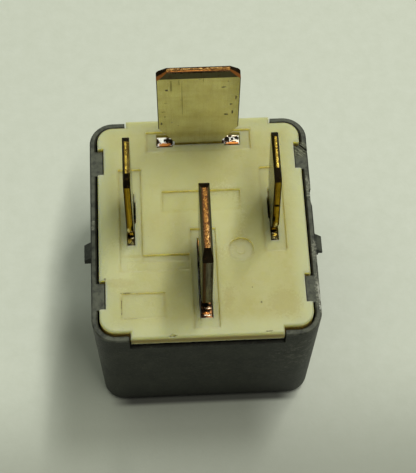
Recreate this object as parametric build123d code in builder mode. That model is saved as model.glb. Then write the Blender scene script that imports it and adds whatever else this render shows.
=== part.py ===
from build123d import *
import math
import os

# A plug-in automotive relay, stored with its terminals up. Sizes are in millimetres.
# +Z is up, +Y runs from the common terminal to the fixed load terminal, and +X is to the right.
# The origin is the centre of the cover's closed end.

# Cover
cover_width = 26.3
cover_depth = 28.6
cover_height = 21.0
cover_lean = 0.35             # how far each wall stands in at the closed end
cover_wall = 0.7
closed_end_wall = 1.0
cover_corner = 2.8
closed_end_edge = 1.2
rim_edge = 0.15
notch_width = 17.8
notch_drop = 2.4
tab_reach = 1.55              # from the outer face of the wall
tab_length = 3.3
tab_to_end = 5.6              # from a tab's middle to the cover's front or back face
tab_thickness = 1.0
lug_reach = 0.8
lug_length = 2.0
lug_height = 1.75             # of its root, from the rim down
lug_slope = 0.8
lug_y = -2.6
lug_nick = 0.45               # broken out of the right lug's front lower corner
gouge_length = 2.6            # across the right rear tab's end, where the cover was prised off
gouge_width = 0.55
gouge_depth = 0.3
gouge_angle = -42.0
gouge_to_wall = 0.95          # from the outer face of the wall to the gouge's middle
gouge_past_tab = -0.2         # from the tab's rear end to the gouge's middle
burr_reach = 0.1              # of the tab's torn end, past the tab
burr_width = 0.35
burr_length = 1.25
shave_y = 4.2                 # where the right wall's outer edge is broken and shaved
shave_depth = 0.28
shave_length = 3.2
shave_drop = 1.1
seat_rib_width = 1.2
seat_rib_reach = 0.8
seat_rib_set_in = 1.2         # from the middle of the tab over it, towards the cover's middle

# Base
base_gap = 0.25               # between the base and the cover's wall
base_proud = 0.6              # the base stands this much above the cover's rim
base_thickness = 4.0
base_edge = 0.3
tongue_clearance = 0.2        # on each side, in the cover's notch
tongue_thickness = 1.7
tongue_set_back = 0.1
pocket_depth = 0.35
moulding_clearance = 0.15
core_out_depth = 1.6
core_out_width = 2.4
core_out_length = 4.6
core_out_wall = 0.9           # left between the cored-out corners and the base's edge
fixed_pocket_end = 1.3         # from the shoulder's end to the pocket's end
fixed_pocket_length = 2.75
fixed_pocket_shift = -0.42    # from the blade's middle to the pocket's middle
common_pocket_side = 0.9      # on each side of the blade
common_pocket_length = 12.55
common_pocket_shift = -0.13
coil_pocket_side = 0.95
right_pocket_length = 11.2
right_pocket_shift = 0.65
right_pocket_corner = 0.4
left_pocket_length = 12.2
left_pocket_shift = 0.4
left_pocket_arm_width = 0.85
left_pocket_rib = 0.15        # left between the arm's end and the common blade's pocket
left_step_width = 1.2
left_step_depth = 0.18
blank_pocket_width = 9.3
blank_pocket_length = 2.7
blank_pocket_y = 4.4          # its deep edge
round_pocket_diameter = 3.0
round_pocket_x = 4.35
round_pocket_y = -3.55
round_nib_diameter = 1.0
round_nib_height = 0.15
plain_panel_width = 5.0
plain_panel_length = 3.1
plain_panel_side = 5.0        # from the base's side edge to the panel's middle
plain_panel_front = 3.15      # from the base's front edge to the panel's middle
plain_panel_depth = 0.2
slit_width = 0.3              # beside each narrow blade, on its inner side
slit_length = 2.9
slit_shift = 0.9              # from the blade's middle
relief_width = 1.9            # of the slot's wider part in front of each of the fixed blade's shoulders
relief_depth = 1.3
relief_reach = 0.3
gate_mark_diameter = 0.7      # on the front tongue's upper edge
gate_mark_depth = 0.25
gate_mark_x = -4.0
nub_diameter = 0.5            # on the front tongue's upper edge
nub_x = 6.85

# Wide blades, which carry the load
wide_blade_width = 9.5
wide_blade_thickness = 1.2
wide_blade_rise = 14.9        # above the base
wide_tip_chamfer = 1.2
wide_tip_thickness = 0.7
wide_bevel_height = 0.9
wide_neck_width = 5.7
wide_shoulder_overhang = 0.25 # past each side of the blade
foot_width = 7.0
neck_height = 3.2             # above the base, where the blade has its full width again
shoulder_depth = 0.8          # below the base's top
shoulder_height = 1.6
stop_shoulder_overhang = 0.3  # of the fixed load terminal, under the base
stop_shoulder_height = 1.2
wide_stem_set_in = 0.8        # from each end of the shoulder
common_tenon_width = 3.0
tenon_wall = 1.8              # left in the yoke between the tenon and the core's hole
fixed_blade_to_wall = 2.0     # from the cover's inner face to the blade's middle
common_blade_to_wall = 6.8

# Narrow blades, which feed the coil
coil_blade_width = 6.3
coil_blade_thickness = 0.8
coil_blade_rise = 14.5
coil_tip_chamfer = 1.2
coil_tip_thickness = 0.35
coil_bevel_height = 0.9
coil_neck_width = 4.0
coil_neck_height = 2.9
coil_shoulder_overhang = 0.2
coil_stem_set_in = 1.05
coil_blade_to_wall = 4.05     # from the cover's inner face to the blade's middle
coil_blade_y = 1.0
coil_left_lean = 0.4          # degrees, towards the middle
coil_right_lean = 1.5
coil_tail_width = 1.6
coil_tail_length = 4.2        # below the base
coil_tail_shift = 2.0         # from the blade's middle
blade_edge = 0.1

# Yoke, core and coil
yoke_thickness = 1.6
yoke_overhang = 0.1           # past each side of the winding
yoke_to_wall = 2.0
yoke_past_core = 5.0          # from the core's middle to the yoke's free end under the base
yoke_bend = 1.2
yoke_foot_gap = 0.05          # above the hinge line
core_share = 0.435            # the core's diameter over the winding's
core_shoulder = 1.0           # all round the tenon that goes through the yoke
core_rivet_overhang = 0.6     # all round the tenon
core_rivet_height = 0.6
pole_overhang = 1.5           # all round the core
pole_thickness = 1.0
pole_gap = 0.1                # left between the pole and the armature when it is pulled in
flange_overhang_x = 0.4       # past each side of the winding
flange_overhang_y = 0.7
flange_corner = 2.0
flange_thickness = 0.8
flange_yoke_gap = 0.9
flange_foot_gap = 0.5
flange_tail_gap = 0.4
bobbin_bore_clearance = 0.05
bobbin_wall = 0.7
winding_gap = 0.05
lead_diameter = 0.3
lead_wrap_wall = 0.3
lead_wrap_height = 1.2
lead_height = 1.4             # below the yoke's underside
lead_start_angle = 25.0

# Armature and contacts
hinge_set_in = 0.3            # from the yoke's outer face
hinge_z = 6.0
open_angle = 3.0              # degrees that the armature drops when the relay is off
armature_to_contact = 4.8     # from the plate's end to the contact's middle
armature_width = 12.0
armature_thickness = 1.5
armature_tail_chamfer = 0.9
armature_corner = 1.5
spring_thickness = 0.3
spring_width = 10.0
spring_tip_width = 5.0
spring_past_contact = 2.8     # from the contact's middle to the spring's tip
spring_bend_clearance = 0.05  # between the bend and the armature's chamfered tail
spring_window = 3.4
spring_window_length = 4.5
spring_top_z = 13.0
contact_to_foot_end = 0.2     # from the fixed contact's edge
moving_contact_diameter = 4.0
moving_contact_height = 1.1
contact_shank_diameter = 2.0
contact_tail_diameter = 2.6
contact_tail_height = 0.4
contact_gap_closed = 0.1
fixed_contact_diameter = 4.4
fixed_contact_height = 1.0
contact_edge = 0.25
load_foot_length = 5.6
load_foot_bend = 1.2
rivet_spacing = 6.6
rivet_diameter = 1.8
rivet_head_diameter = 3.0
rivet_head_height = 0.5
rivet_head_taper = 30.0
armature_rivet_distance = 6.5
spring_rivet_z = 11.0

# Braid and stop
braid_width = 2.6
braid_thickness = 0.8
braid_weld_length = 4.0
braid_to_contact = 2.8        # from the braid's end to the contact's middle
braid_fall = 4.07             # along Y, from the weld on the spring down to the low stretch
braid_low_z = 2.3
braid_top_z = 12.4
braid_turn_set_in = 1.8       # from the yoke's outer face
braid_bulge = 0.75
braid_side_z = 5.2
braid_weld_z = 8.4
braid_bends = (6.0, 6.0, 2.2, 2.2, 2.2)
stop_thickness = 0.8
stop_leg_gap = 0.3            # beside the fixed load terminal
stop_leg_width = 3.0
stop_foot_height = 1.15
stop_root = 1.4               # how far the leg is pressed into the base
stop_gap = 0.03

# Places that follow from the sizes above
base_top = cover_height + base_proud
base_under = base_top - base_thickness
wall_angle = math.degrees(math.atan(cover_lean / cover_height))
inner_width = cover_width - 2 * cover_wall
inner_depth = cover_depth - 2 * cover_wall
inner_corner = cover_corner - cover_wall
base_width = inner_width - 2 * base_gap
base_depth = inner_depth - 2 * base_gap
base_corner = inner_corner - base_gap
tongue_width = notch_width - 2 * tongue_clearance
tongue_depth = cover_depth - 2 * tongue_set_back
tab_x = cover_width / 2 - (tab_reach + cover_wall / 2) / 2
tab_spacing = cover_depth - 2 * tab_to_end
tab_inner_x = cover_width / 2 - tab_reach
tab_rear_y = tab_spacing / 2 + tab_length / 2
seat_rib_spacing = tab_spacing - 2 * seat_rib_set_in
core_out_spacing_x = base_width - 2 * core_out_wall - core_out_width
core_out_spacing_y = base_depth - 2 * core_out_wall - core_out_length
plain_panel_x = plain_panel_side - base_width / 2
plain_panel_y = plain_panel_front - base_depth / 2
wide_shoulder_width = wide_blade_width + 2 * wide_shoulder_overhang
stop_shoulder_width = wide_shoulder_width + 2 * stop_shoulder_overhang
wide_stem_width = wide_shoulder_width - 2 * wide_stem_set_in
coil_shoulder_width = coil_blade_width + 2 * coil_shoulder_overhang
coil_stem_width = coil_shoulder_width - 2 * coil_stem_set_in
fixed_blade_y = inner_depth / 2 - fixed_blade_to_wall
common_blade_y = common_blade_to_wall - inner_depth / 2
coil_blade_x = inner_width / 2 - coil_blade_to_wall
coil_tail_y = coil_blade_y + coil_tail_shift
fixed_pocket_width = wide_shoulder_width + 2 * fixed_pocket_end
common_pocket_width = wide_blade_thickness + 2 * common_pocket_side
coil_pocket_width = coil_blade_thickness + 2 * coil_pocket_side
yoke_outer_y = yoke_to_wall - inner_depth / 2
yoke_inner_y = yoke_outer_y + yoke_thickness
load_foot_end_y = fixed_blade_y + wide_blade_thickness / 2 - load_foot_length
# The coil fills the room between the yoke and the load terminal's foot, or, where that is less,
# the room between the coil terminals' tails.
coil_room_y = load_foot_end_y - flange_foot_gap - yoke_inner_y - flange_yoke_gap
tail_inner_x = coil_blade_x - coil_blade_thickness / 2 - lead_wrap_wall
coil_room_x = 2 * (tail_inner_x - flange_tail_gap)
winding_diameter = min(coil_room_y - 2 * flange_overhang_y, coil_room_x - 2 * flange_overhang_x)
flange_width = winding_diameter + 2 * flange_overhang_x
flange_length = winding_diameter + 2 * flange_overhang_y
yoke_width = winding_diameter + 2 * yoke_overhang
core_diameter = winding_diameter * core_share
core_tenon_diameter = core_diameter - 2 * core_shoulder
core_rivet_diameter = core_tenon_diameter + 2 * core_rivet_overhang
pole_diameter = core_diameter + 2 * pole_overhang
core_y = yoke_inner_y + flange_yoke_gap + flange_length / 2
yoke_end_y = core_y + yoke_past_core
tenon_y = core_y - core_tenon_diameter / 2 - tenon_wall - common_tenon_width / 2
yoke_top = base_under
yoke_under = yoke_top - yoke_thickness
drop = math.radians(open_angle)
hinge_y = yoke_outer_y + hinge_set_in
pole_face = hinge_z + pole_gap
pole_back = pole_face + pole_thickness
core_axis = Axis((0, core_y, 0), (0, 0, 1))
wide_slot_width = wide_blade_thickness + 2 * moulding_clearance
coil_slot_width = coil_blade_thickness + moulding_clearance
coil_slit_x = coil_blade_x - coil_slot_width / 2
relief_x = wide_shoulder_width / 2 - relief_width / 2
relief_y = fixed_blade_y - wide_slot_width / 2 - relief_reach / 2
slit_y = coil_blade_y + slit_shift
left_pocket_y = coil_blade_y + left_pocket_shift
left_arm = (
    -coil_blade_x - coil_pocket_width / 2,
    left_pocket_y - left_pocket_length / 2,
)
left_pocket_arm_length = -common_pocket_width / 2 - left_pocket_rib - left_arm[0]
core_recess_diameter = core_rivet_diameter + 2 * moulding_clearance
bobbin_bore = core_diameter / 2 + bobbin_bore_clearance
winding_low = pole_back + flange_thickness + winding_gap
winding_high = yoke_under - flange_thickness - winding_gap
lead_z = yoke_under - lead_height
lead_start_x = winding_diameter / 2 * math.cos(math.radians(lead_start_angle))
lead_start_y = core_y + winding_diameter / 2 * math.sin(math.radians(lead_start_angle))
armature_rivet_places = [
    (-rivet_spacing / 2, armature_rivet_distance),
    (rivet_spacing / 2, armature_rivet_distance),
]
contact_y = load_foot_end_y + contact_to_foot_end + fixed_contact_diameter / 2
contact_distance = contact_y - hinge_y
armature_length = contact_distance - armature_to_contact
spring_length = contact_distance + spring_past_contact
load_foot_under = (
    hinge_z - armature_thickness + moving_contact_height + contact_gap_closed + fixed_contact_height
)
load_foot_z = load_foot_under + wide_blade_thickness / 2
spring_mid_height = -armature_thickness - spring_thickness / 2
spring_leg_y = yoke_outer_y - spring_thickness / 2
spring_bend = armature_tail_chamfer + hinge_y - spring_leg_y - spring_bend_clearance
spring_back = -2 * spring_bend
braid_height = -armature_thickness - spring_thickness - braid_thickness / 2
braid_end_distance = contact_distance - braid_to_contact
stop_leg_x = stop_shoulder_width / 2 + stop_leg_gap + stop_leg_width / 2
stop_foot_length = stop_leg_x + stop_leg_width / 2 + spring_tip_width / 2

# The armature's own plane at rest: its origin is the hinge, its Y runs along the plate to the
# contacts, and its Z stands out of the plate's upper face.
rest_plane = Plane(
    origin=(0, hinge_y, hinge_z),
    x_dir=(1, 0, 0),
    z_dir=(0, math.sin(drop), math.cos(drop)),
)


def at_rest(distance, height):
    """Y and Z of a point so far along the open armature and so high above its upper face."""
    y = hinge_y + distance * math.cos(drop) + height * math.sin(drop)
    z = hinge_z - distance * math.sin(drop) + height * math.cos(drop)
    return (y, z)


def bent_strip(points, radius, thickness):
    """Outline of a bent strip whose centre line runs through the points."""
    with BuildSketch() as outline:
        with BuildLine():
            FilletPolyline(*points, radius=radius)
        trace(line_width=thickness)
    return outline.sketch


def blade_outline(width, rise, tip_chamfer, neck_width, neck_rise, shoulder_width, stem_width):
    """Outline of a blade down to the base's underside: X across it, Y up from the base's top."""
    shoulder_foot = -shoulder_depth - shoulder_height
    with BuildSketch() as outline:
        with BuildLine():
            Polyline(
                (0, -base_thickness),
                (stem_width / 2, -base_thickness),
                (stem_width / 2, shoulder_foot),
                (shoulder_width / 2, shoulder_foot),
                (shoulder_width / 2, -shoulder_depth),
                (neck_width / 2, -shoulder_depth),
                (neck_width / 2, 0),
                (width / 2, neck_rise),
                (width / 2, rise - tip_chamfer),
                (width / 2 - tip_chamfer, rise),
                (0, rise),
                close=True,
            )
        make_face()
        mirror(about=Plane.YZ)
    return outline.sketch


def tip_bevels(thickness, tip_thickness, bevel_height):
    """The two wedges that a blade's coined tip lacks: the tip's middle is at 0, 0 and Y is up."""
    with BuildSketch() as outline:
        with BuildLine():
            Polyline(
                (tip_thickness / 2, 0),
                (thickness / 2, -bevel_height),
                (thickness, -bevel_height),
                (thickness, 0),
                close=True,
            )
        make_face()
        mirror(about=Plane.YZ)
    return outline.sketch


def line_z(first, second, y):
    """Z, at a given Y, of the straight line through two points."""
    share = (y - first[0]) / (second[0] - first[0])
    return first[1] + share * (second[1] - first[1])


def blade_sides(blade, rise, tip_chamfer):
    """The long edges of a blade's two flat faces, from its neck to its tip's corner chamfers."""
    flat_faces = blade.faces().sort_by(SortBy.AREA)[-2:]
    top = base_top + rise - tip_chamfer
    return flat_faces.edges().filter_by(lambda edge: base_top < edge.center().Z < top)


wide_outline = blade_outline(
    wide_blade_width,
    wide_blade_rise,
    wide_tip_chamfer,
    wide_neck_width,
    neck_height,
    wide_shoulder_width,
    wide_stem_width,
)
coil_outline = blade_outline(
    coil_blade_width,
    coil_blade_rise,
    coil_tip_chamfer,
    coil_neck_width,
    coil_neck_height,
    coil_shoulder_width,
    coil_stem_width,
)
spring_turn_z = line_z(
    at_rest(0, spring_mid_height),
    at_rest(spring_length, spring_mid_height),
    spring_leg_y,
)
braid_weld_end = at_rest(braid_end_distance - braid_weld_length, braid_height)
stop_foot_top = at_rest(spring_length, -armature_thickness - spring_thickness)[1] - stop_gap

os.makedirs("parts", exist_ok=True)

# Cover
with BuildPart() as cover:
    with BuildSketch(Plane.XY.offset(cover_height)):
        RectangleRounded(cover_width, cover_depth, cover_corner)
    extrude(amount=-cover_height, taper=wall_angle)
    fillet(cover.faces().sort_by(Axis.Z)[0].edges(), radius=closed_end_edge)
    with BuildSketch(Plane.XY.offset(cover_height)):
        RectangleRounded(inner_width, inner_depth, inner_corner)
    extrude(amount=closed_end_wall - cover_height, taper=wall_angle, mode=Mode.SUBTRACT)
    chamfer(cover.faces().sort_by(Axis.Z)[-1].edges(), length=rim_edge)
    # A notch in the front wall and one in the back wall
    with BuildSketch(Plane.XY.offset(cover_height)):
        Rectangle(notch_width, cover_depth + cover_wall)
    extrude(amount=-notch_drop, mode=Mode.SUBTRACT)
    # Four tabs that hold the base down
    with BuildSketch(Plane.XY.offset(cover_height)):
        with GridLocations(2 * tab_x, tab_spacing, 2, 2):
            Rectangle(tab_reach - cover_wall / 2, tab_length)
    extrude(amount=-tab_thickness)
    # Four ribs inside, on which the base stands
    with BuildSketch(Plane.XY.offset(base_under)):
        with GridLocations(inner_width - seat_rib_reach, seat_rib_spacing, 2, 2):
            Rectangle(seat_rib_reach, seat_rib_width)
    extrude(amount=closed_end_wall - base_under)
    # A locating lug high on each side wall, with a sloped upper face
    with BuildSketch(Plane.XZ.offset(-lug_y)):
        with BuildLine():
            Polyline(
                (inner_width / 2 + cover_wall / 2, cover_height - rim_edge),
                (cover_width / 2, cover_height - rim_edge),
                (cover_width / 2 + lug_reach, cover_height - rim_edge - lug_slope),
                (cover_width / 2 + lug_reach, cover_height - lug_height),
                (inner_width / 2 + cover_wall / 2, cover_height - lug_height),
                close=True,
            )
        make_face()
        mirror(about=Plane.YZ)
    extrude(amount=lug_length / 2, both=True)
    with BuildSketch(Plane.XY.offset(cover_height - lug_height)):
        with Locations((cover_width / 2 + lug_reach, lug_y - lug_length / 2)):
            Rectangle(2 * lug_nick, 2 * lug_nick)
    extrude(amount=lug_nick, mode=Mode.SUBTRACT)
    # Marks of a tool: a torn and gouged tab, and a shaved stretch of the rim's outer edge
    with BuildSketch(Plane.XY.offset(cover_height)):
        with BuildLine():
            Polyline(
                (tab_inner_x - burr_reach, tab_rear_y - burr_width / 2),
                (tab_inner_x + burr_width, tab_rear_y + burr_reach),
                (tab_inner_x + burr_length, tab_rear_y + 2 * burr_reach),
                (tab_inner_x + burr_length - burr_width, tab_rear_y - burr_width),
                close=True,
            )
        make_face()
    extrude(amount=-tab_thickness / 2)
    with BuildSketch(Plane.XY.offset(cover_height)):
        with Locations((cover_width / 2 - gouge_to_wall, tab_rear_y + gouge_past_tab)):
            Rectangle(gouge_length, gouge_width, rotation=gouge_angle)
    extrude(amount=-gouge_depth, mode=Mode.SUBTRACT)
    with BuildSketch(Plane.XY.offset(cover_height)):
        with BuildLine():
            Polyline(
                (cover_width / 2 + shave_depth, shave_y + shave_depth),
                (cover_width / 2 - shave_depth, shave_y),
                (cover_width / 2 - shave_depth / 2, shave_y - shave_length / 2),
                (cover_width / 2 + shave_depth, shave_y - shave_length),
                close=True,
            )
        make_face()
    extrude(amount=-shave_drop, mode=Mode.SUBTRACT)
cover.part.label = "cover"
export_step(cover.part, "parts/cover.step")

# Base, with a tongue at the front and one at the back that lie in the cover's notches
with BuildPart() as tongues:
    with BuildSketch(Plane.XY.offset(base_top)):
        Rectangle(tongue_width, tongue_depth)
    extrude(amount=-tongue_thickness)
    fillet(tongues.faces().sort_by(Axis.Z)[-1].edges(), radius=base_edge)

with BuildPart() as base:
    with BuildSketch(Plane.XY.offset(base_under)):
        RectangleRounded(base_width, base_depth, base_corner)
    extrude(amount=base_thickness)
    fillet(base.faces().sort_by(Axis.Z)[-1].edges(), radius=base_edge)
    add(tongues.part)
    # Notches that the cover's four tabs close over
    with BuildSketch(Plane.XY.offset(base_top)):
        with GridLocations(cover_width, tab_spacing, 2, 2):
            Rectangle(2 * (tab_reach + moulding_clearance), tab_length + 2 * moulding_clearance)
    extrude(amount=-(base_proud + tab_thickness + moulding_clearance), mode=Mode.SUBTRACT)
    # Shallow pockets round the blades
    with BuildSketch(Plane.XY.offset(base_top)):
        with Locations((0, fixed_blade_y + fixed_pocket_shift)):
            Rectangle(fixed_pocket_width, fixed_pocket_length)
        with Locations((0, common_blade_y + common_pocket_shift)):
            Rectangle(common_pocket_width, common_pocket_length)
        with Locations((coil_blade_x, coil_blade_y + right_pocket_shift)):
            RectangleRounded(coil_pocket_width, right_pocket_length, right_pocket_corner)
        with Locations((-coil_blade_x, left_pocket_y)):
            Rectangle(coil_pocket_width, left_pocket_length)
        with Locations(left_arm):
            Rectangle(left_pocket_arm_length, left_pocket_arm_width, align=(Align.MIN, Align.MIN))
        with Locations((round_pocket_x, round_pocket_y)):
            Circle(round_pocket_diameter / 2)
            Circle(round_nib_diameter / 2, mode=Mode.SUBTRACT)
    extrude(amount=-pocket_depth, mode=Mode.SUBTRACT)
    with BuildSketch(Plane.XY.offset(base_top)):
        with Locations((round_pocket_x, round_pocket_y)):
            Circle(round_nib_diameter / 2)
    extrude(amount=round_nib_height - pocket_depth, mode=Mode.SUBTRACT)
    with BuildSketch(Plane.XY.offset(base_top)):
        with Locations(left_arm):
            Rectangle(left_pocket_arm_length, left_step_width, align=(Align.MIN, Align.MAX))
    extrude(amount=-left_step_depth, mode=Mode.SUBTRACT)
    with BuildSketch(Plane.XY.offset(base_top)):
        with Locations((plain_panel_x, plain_panel_y)):
            Rectangle(plain_panel_width, plain_panel_length)
    extrude(amount=-plain_panel_depth, mode=Mode.SUBTRACT)
    # The blank place of a fifth blade, which runs out to nothing
    with BuildSketch(Plane.YZ):
        with BuildLine():
            Polyline(
                (blank_pocket_y, base_top),
                (blank_pocket_y, base_top - pocket_depth),
                (blank_pocket_y - blank_pocket_length, base_top),
                close=True,
            )
        make_face()
    extrude(amount=blank_pocket_width / 2, both=True, mode=Mode.SUBTRACT)
    # Slots for the four blades
    with BuildSketch(Plane.XY.offset(base_top)):
        with Locations((0, fixed_blade_y)):
            Rectangle(wide_shoulder_width + moulding_clearance, wide_slot_width)
        with Locations((0, common_blade_y)):
            Rectangle(wide_slot_width, wide_shoulder_width + moulding_clearance)
        with Locations((coil_blade_x, coil_blade_y), (-coil_blade_x, coil_blade_y)):
            Rectangle(coil_slot_width, coil_shoulder_width + moulding_clearance)
        with Locations((coil_slit_x, slit_y), (-coil_slit_x, slit_y)):
            Rectangle(slit_width, slit_length)
    extrude(amount=-base_thickness, mode=Mode.SUBTRACT)
    # Wider ends of the fixed blade's slot, in front of its shoulders
    with BuildSketch(Plane.XY.offset(base_top - pocket_depth)):
        with Locations((-relief_x, relief_y), (relief_x, relief_y)):
            Rectangle(relief_width, relief_reach)
    extrude(amount=-relief_depth, mode=Mode.SUBTRACT)
    # Gate mark and nub on the front tongue
    with BuildSketch(Plane.XY.offset(base_top)):
        with Locations((gate_mark_x, -tongue_depth / 2)):
            Circle(gate_mark_diameter / 2)
    extrude(amount=-gate_mark_depth, mode=Mode.SUBTRACT)
    with BuildSketch(Plane.XY.offset(base_top - base_edge)):
        with Locations((nub_x, base_edge - tongue_depth / 2)):
            Circle(nub_diameter / 2)
    extrude(amount=base_edge)
    # Underside: the core rivet's recess, the stop's slot and four cored-out corners
    with BuildSketch(Plane.XY.offset(base_under)):
        with Locations((0, core_y)):
            Circle(core_recess_diameter / 2)
    extrude(amount=core_rivet_height + moulding_clearance, mode=Mode.SUBTRACT)
    with BuildSketch(Plane.XY.offset(base_under)):
        with Locations((stop_leg_x, fixed_blade_y)):
            Rectangle(stop_leg_width, stop_thickness)
    extrude(amount=stop_root, mode=Mode.SUBTRACT)
    with BuildSketch(Plane.XY.offset(base_under)):
        with GridLocations(core_out_spacing_x, core_out_spacing_y, 2, 2):
            Rectangle(core_out_width, core_out_length)
    extrude(amount=core_out_depth, mode=Mode.SUBTRACT)
base.part.label = "base"
export_step(base.part, "parts/base.step")

# Fixed load terminal: its foot turns in under the base and carries the fixed contact
with BuildPart() as terminal_load_fixed:
    with BuildSketch(Plane.YZ):
        add(
            bent_strip(
                [
                    (fixed_blade_y, base_top + wide_blade_rise),
                    (fixed_blade_y, load_foot_z),
                    (load_foot_end_y, load_foot_z),
                ],
                load_foot_bend,
                wide_blade_thickness,
            )
        )
        with Locations((fixed_blade_y, base_top + wide_blade_rise)):
            add(
                tip_bevels(wide_blade_thickness, wide_tip_thickness, wide_bevel_height),
                mode=Mode.SUBTRACT,
            )
    extrude(amount=stop_shoulder_width, both=True)
    with BuildSketch(Plane.XZ.offset(-fixed_blade_y)):
        with Locations((0, base_top)):
            add(wide_outline)
        with Locations((0, base_under)):
            Rectangle(
                stop_shoulder_width, stop_shoulder_height, align=(Align.CENTER, Align.MAX)
            )
            Rectangle(foot_width, base_under, align=(Align.CENTER, Align.MAX))
    extrude(amount=cover_depth, both=True, mode=Mode.INTERSECT)
    with BuildSketch(Plane.XY):
        with Locations((0, contact_y)):
            Circle(contact_shank_diameter / 2)
    extrude(amount=base_under - stop_shoulder_height, mode=Mode.SUBTRACT)
    chamfer(
        blade_sides(terminal_load_fixed, wide_blade_rise, wide_tip_chamfer),
        length=blade_edge,
    )
terminal_load_fixed.part.label = "terminal_load_fixed"
export_step(terminal_load_fixed.part, "parts/terminal_load_fixed.step")

# Common load terminal: its tenon is riveted through the yoke
with BuildPart() as terminal_load_common:
    with BuildSketch(Plane.XZ.offset(-common_blade_y)):
        with Locations((0, yoke_under)):
            Rectangle(
                wide_blade_thickness,
                base_top + wide_blade_rise - yoke_under,
                align=(Align.CENTER, Align.MIN),
            )
        with Locations((0, base_top + wide_blade_rise)):
            add(
                tip_bevels(wide_blade_thickness, wide_tip_thickness, wide_bevel_height),
                mode=Mode.SUBTRACT,
            )
    extrude(amount=wide_shoulder_width, both=True)
    with BuildSketch(Plane.YZ):
        with Locations((common_blade_y, base_top)):
            add(wide_outline)
        with Locations((tenon_y, base_under)):
            Rectangle(common_tenon_width, yoke_thickness, align=(Align.CENTER, Align.MAX))
    extrude(amount=wide_blade_thickness, both=True, mode=Mode.INTERSECT)
    # Clearance over the core's rivet
    with BuildSketch(Plane.XY.offset(base_under)):
        with Locations((0, core_y)):
            Circle(core_recess_diameter / 2)
    extrude(amount=core_rivet_height + moulding_clearance, mode=Mode.SUBTRACT)
    chamfer(
        blade_sides(terminal_load_common, wide_blade_rise, wide_tip_chamfer),
        length=blade_edge,
    )
terminal_load_common.part.label = "terminal_load_common"
export_step(terminal_load_common.part, "parts/terminal_load_common.step")

# Coil terminals, which lean in a little
for side, name, lean in (
    (-1, "terminal_coil_left", coil_left_lean),
    (1, "terminal_coil_right", coil_right_lean),
):
    leaning_rise = coil_blade_rise + shoulder_depth
    tip_x = side * (coil_blade_x - leaning_rise * math.tan(math.radians(lean)))
    with BuildPart() as terminal_coil:
        with BuildSketch(Plane.XZ.offset(-coil_blade_y)):
            add(
                bent_strip(
                    [
                        (side * coil_blade_x, base_under - coil_tail_length),
                        (side * coil_blade_x, base_top - shoulder_depth),
                        (tip_x, base_top + coil_blade_rise),
                    ],
                    0,
                    coil_blade_thickness,
                )
            )
            with Locations((tip_x, base_top + coil_blade_rise)):
                add(
                    tip_bevels(coil_blade_thickness, coil_tip_thickness, coil_bevel_height),
                    rotation=side * lean,
                    mode=Mode.SUBTRACT,
                )
        extrude(amount=coil_shoulder_width, both=True)
        with BuildSketch(Plane.YZ):
            with Locations((coil_blade_y, base_top)):
                add(coil_outline)
            with Locations((coil_tail_y, base_under)):
                Rectangle(coil_tail_width, coil_tail_length, align=(Align.CENTER, Align.MAX))
        extrude(amount=cover_width, both=True, mode=Mode.INTERSECT)
        chamfer(
            blade_sides(terminal_coil, coil_blade_rise, coil_tip_chamfer),
            length=blade_edge,
        )
    terminal_coil.part.label = name
    export_step(terminal_coil.part, f"parts/{name}.step")

# Core, riveted through the yoke
with BuildPart() as core:
    with BuildSketch(Plane.YZ):
        with BuildLine():
            Polyline(
                (core_y, pole_face),
                (core_y + pole_diameter / 2, pole_face),
                (core_y + pole_diameter / 2, pole_back),
                (core_y + core_diameter / 2, pole_back),
                (core_y + core_diameter / 2, yoke_under),
                (core_y + core_tenon_diameter / 2, yoke_under),
                (core_y + core_tenon_diameter / 2, yoke_top),
                (core_y + core_rivet_diameter / 2, yoke_top),
                (core_y + core_tenon_diameter / 2, yoke_top + core_rivet_height),
                (core_y, yoke_top + core_rivet_height),
                close=True,
            )
        make_face()
    revolve(axis=core_axis)
core.part.label = "core"
export_step(core.part, "parts/core.step")

# Yoke
with BuildPart() as yoke:
    with BuildSketch(Plane.YZ):
        add(
            bent_strip(
                [
                    (yoke_outer_y + yoke_thickness / 2, hinge_z + yoke_foot_gap),
                    (yoke_outer_y + yoke_thickness / 2, yoke_top - yoke_thickness / 2),
                    (yoke_end_y, yoke_top - yoke_thickness / 2),
                ],
                yoke_bend,
                yoke_thickness,
            )
        )
    extrude(amount=yoke_width / 2, both=True)
    with BuildSketch(Plane.XY.offset(yoke_top)):
        with Locations((0, core_y)):
            Circle(core_tenon_diameter / 2)
        with Locations((0, tenon_y)):
            Rectangle(wide_blade_thickness, common_tenon_width)
    extrude(amount=-yoke_thickness, mode=Mode.SUBTRACT)
    with BuildSketch(Plane.XZ.offset(-yoke_outer_y)):
        with Locations((-rivet_spacing / 2, spring_rivet_z), (rivet_spacing / 2, spring_rivet_z)):
            Circle(rivet_diameter / 2)
    extrude(amount=-yoke_thickness, mode=Mode.SUBTRACT)
yoke.part.label = "yoke"
export_step(yoke.part, "parts/yoke.step")

# Bobbin
with BuildPart() as bobbin:
    for level in (pole_back, yoke_under - flange_thickness):
        with BuildSketch(Plane.XY.offset(level)):
            with Locations((0, core_y)):
                RectangleRounded(flange_width, flange_length, flange_corner)
        extrude(amount=flange_thickness)
    with BuildSketch(Plane.XY.offset(pole_back)):
        with Locations((0, core_y)):
            Circle(bobbin_bore + bobbin_wall)
    extrude(amount=yoke_under - pole_back)
    with BuildSketch(Plane.XY.offset(pole_back)):
        with Locations((0, core_y)):
            Circle(bobbin_bore)
    extrude(amount=yoke_under - pole_back, mode=Mode.SUBTRACT)
bobbin.part.label = "bobbin"
export_step(bobbin.part, "parts/bobbin.step")

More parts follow.
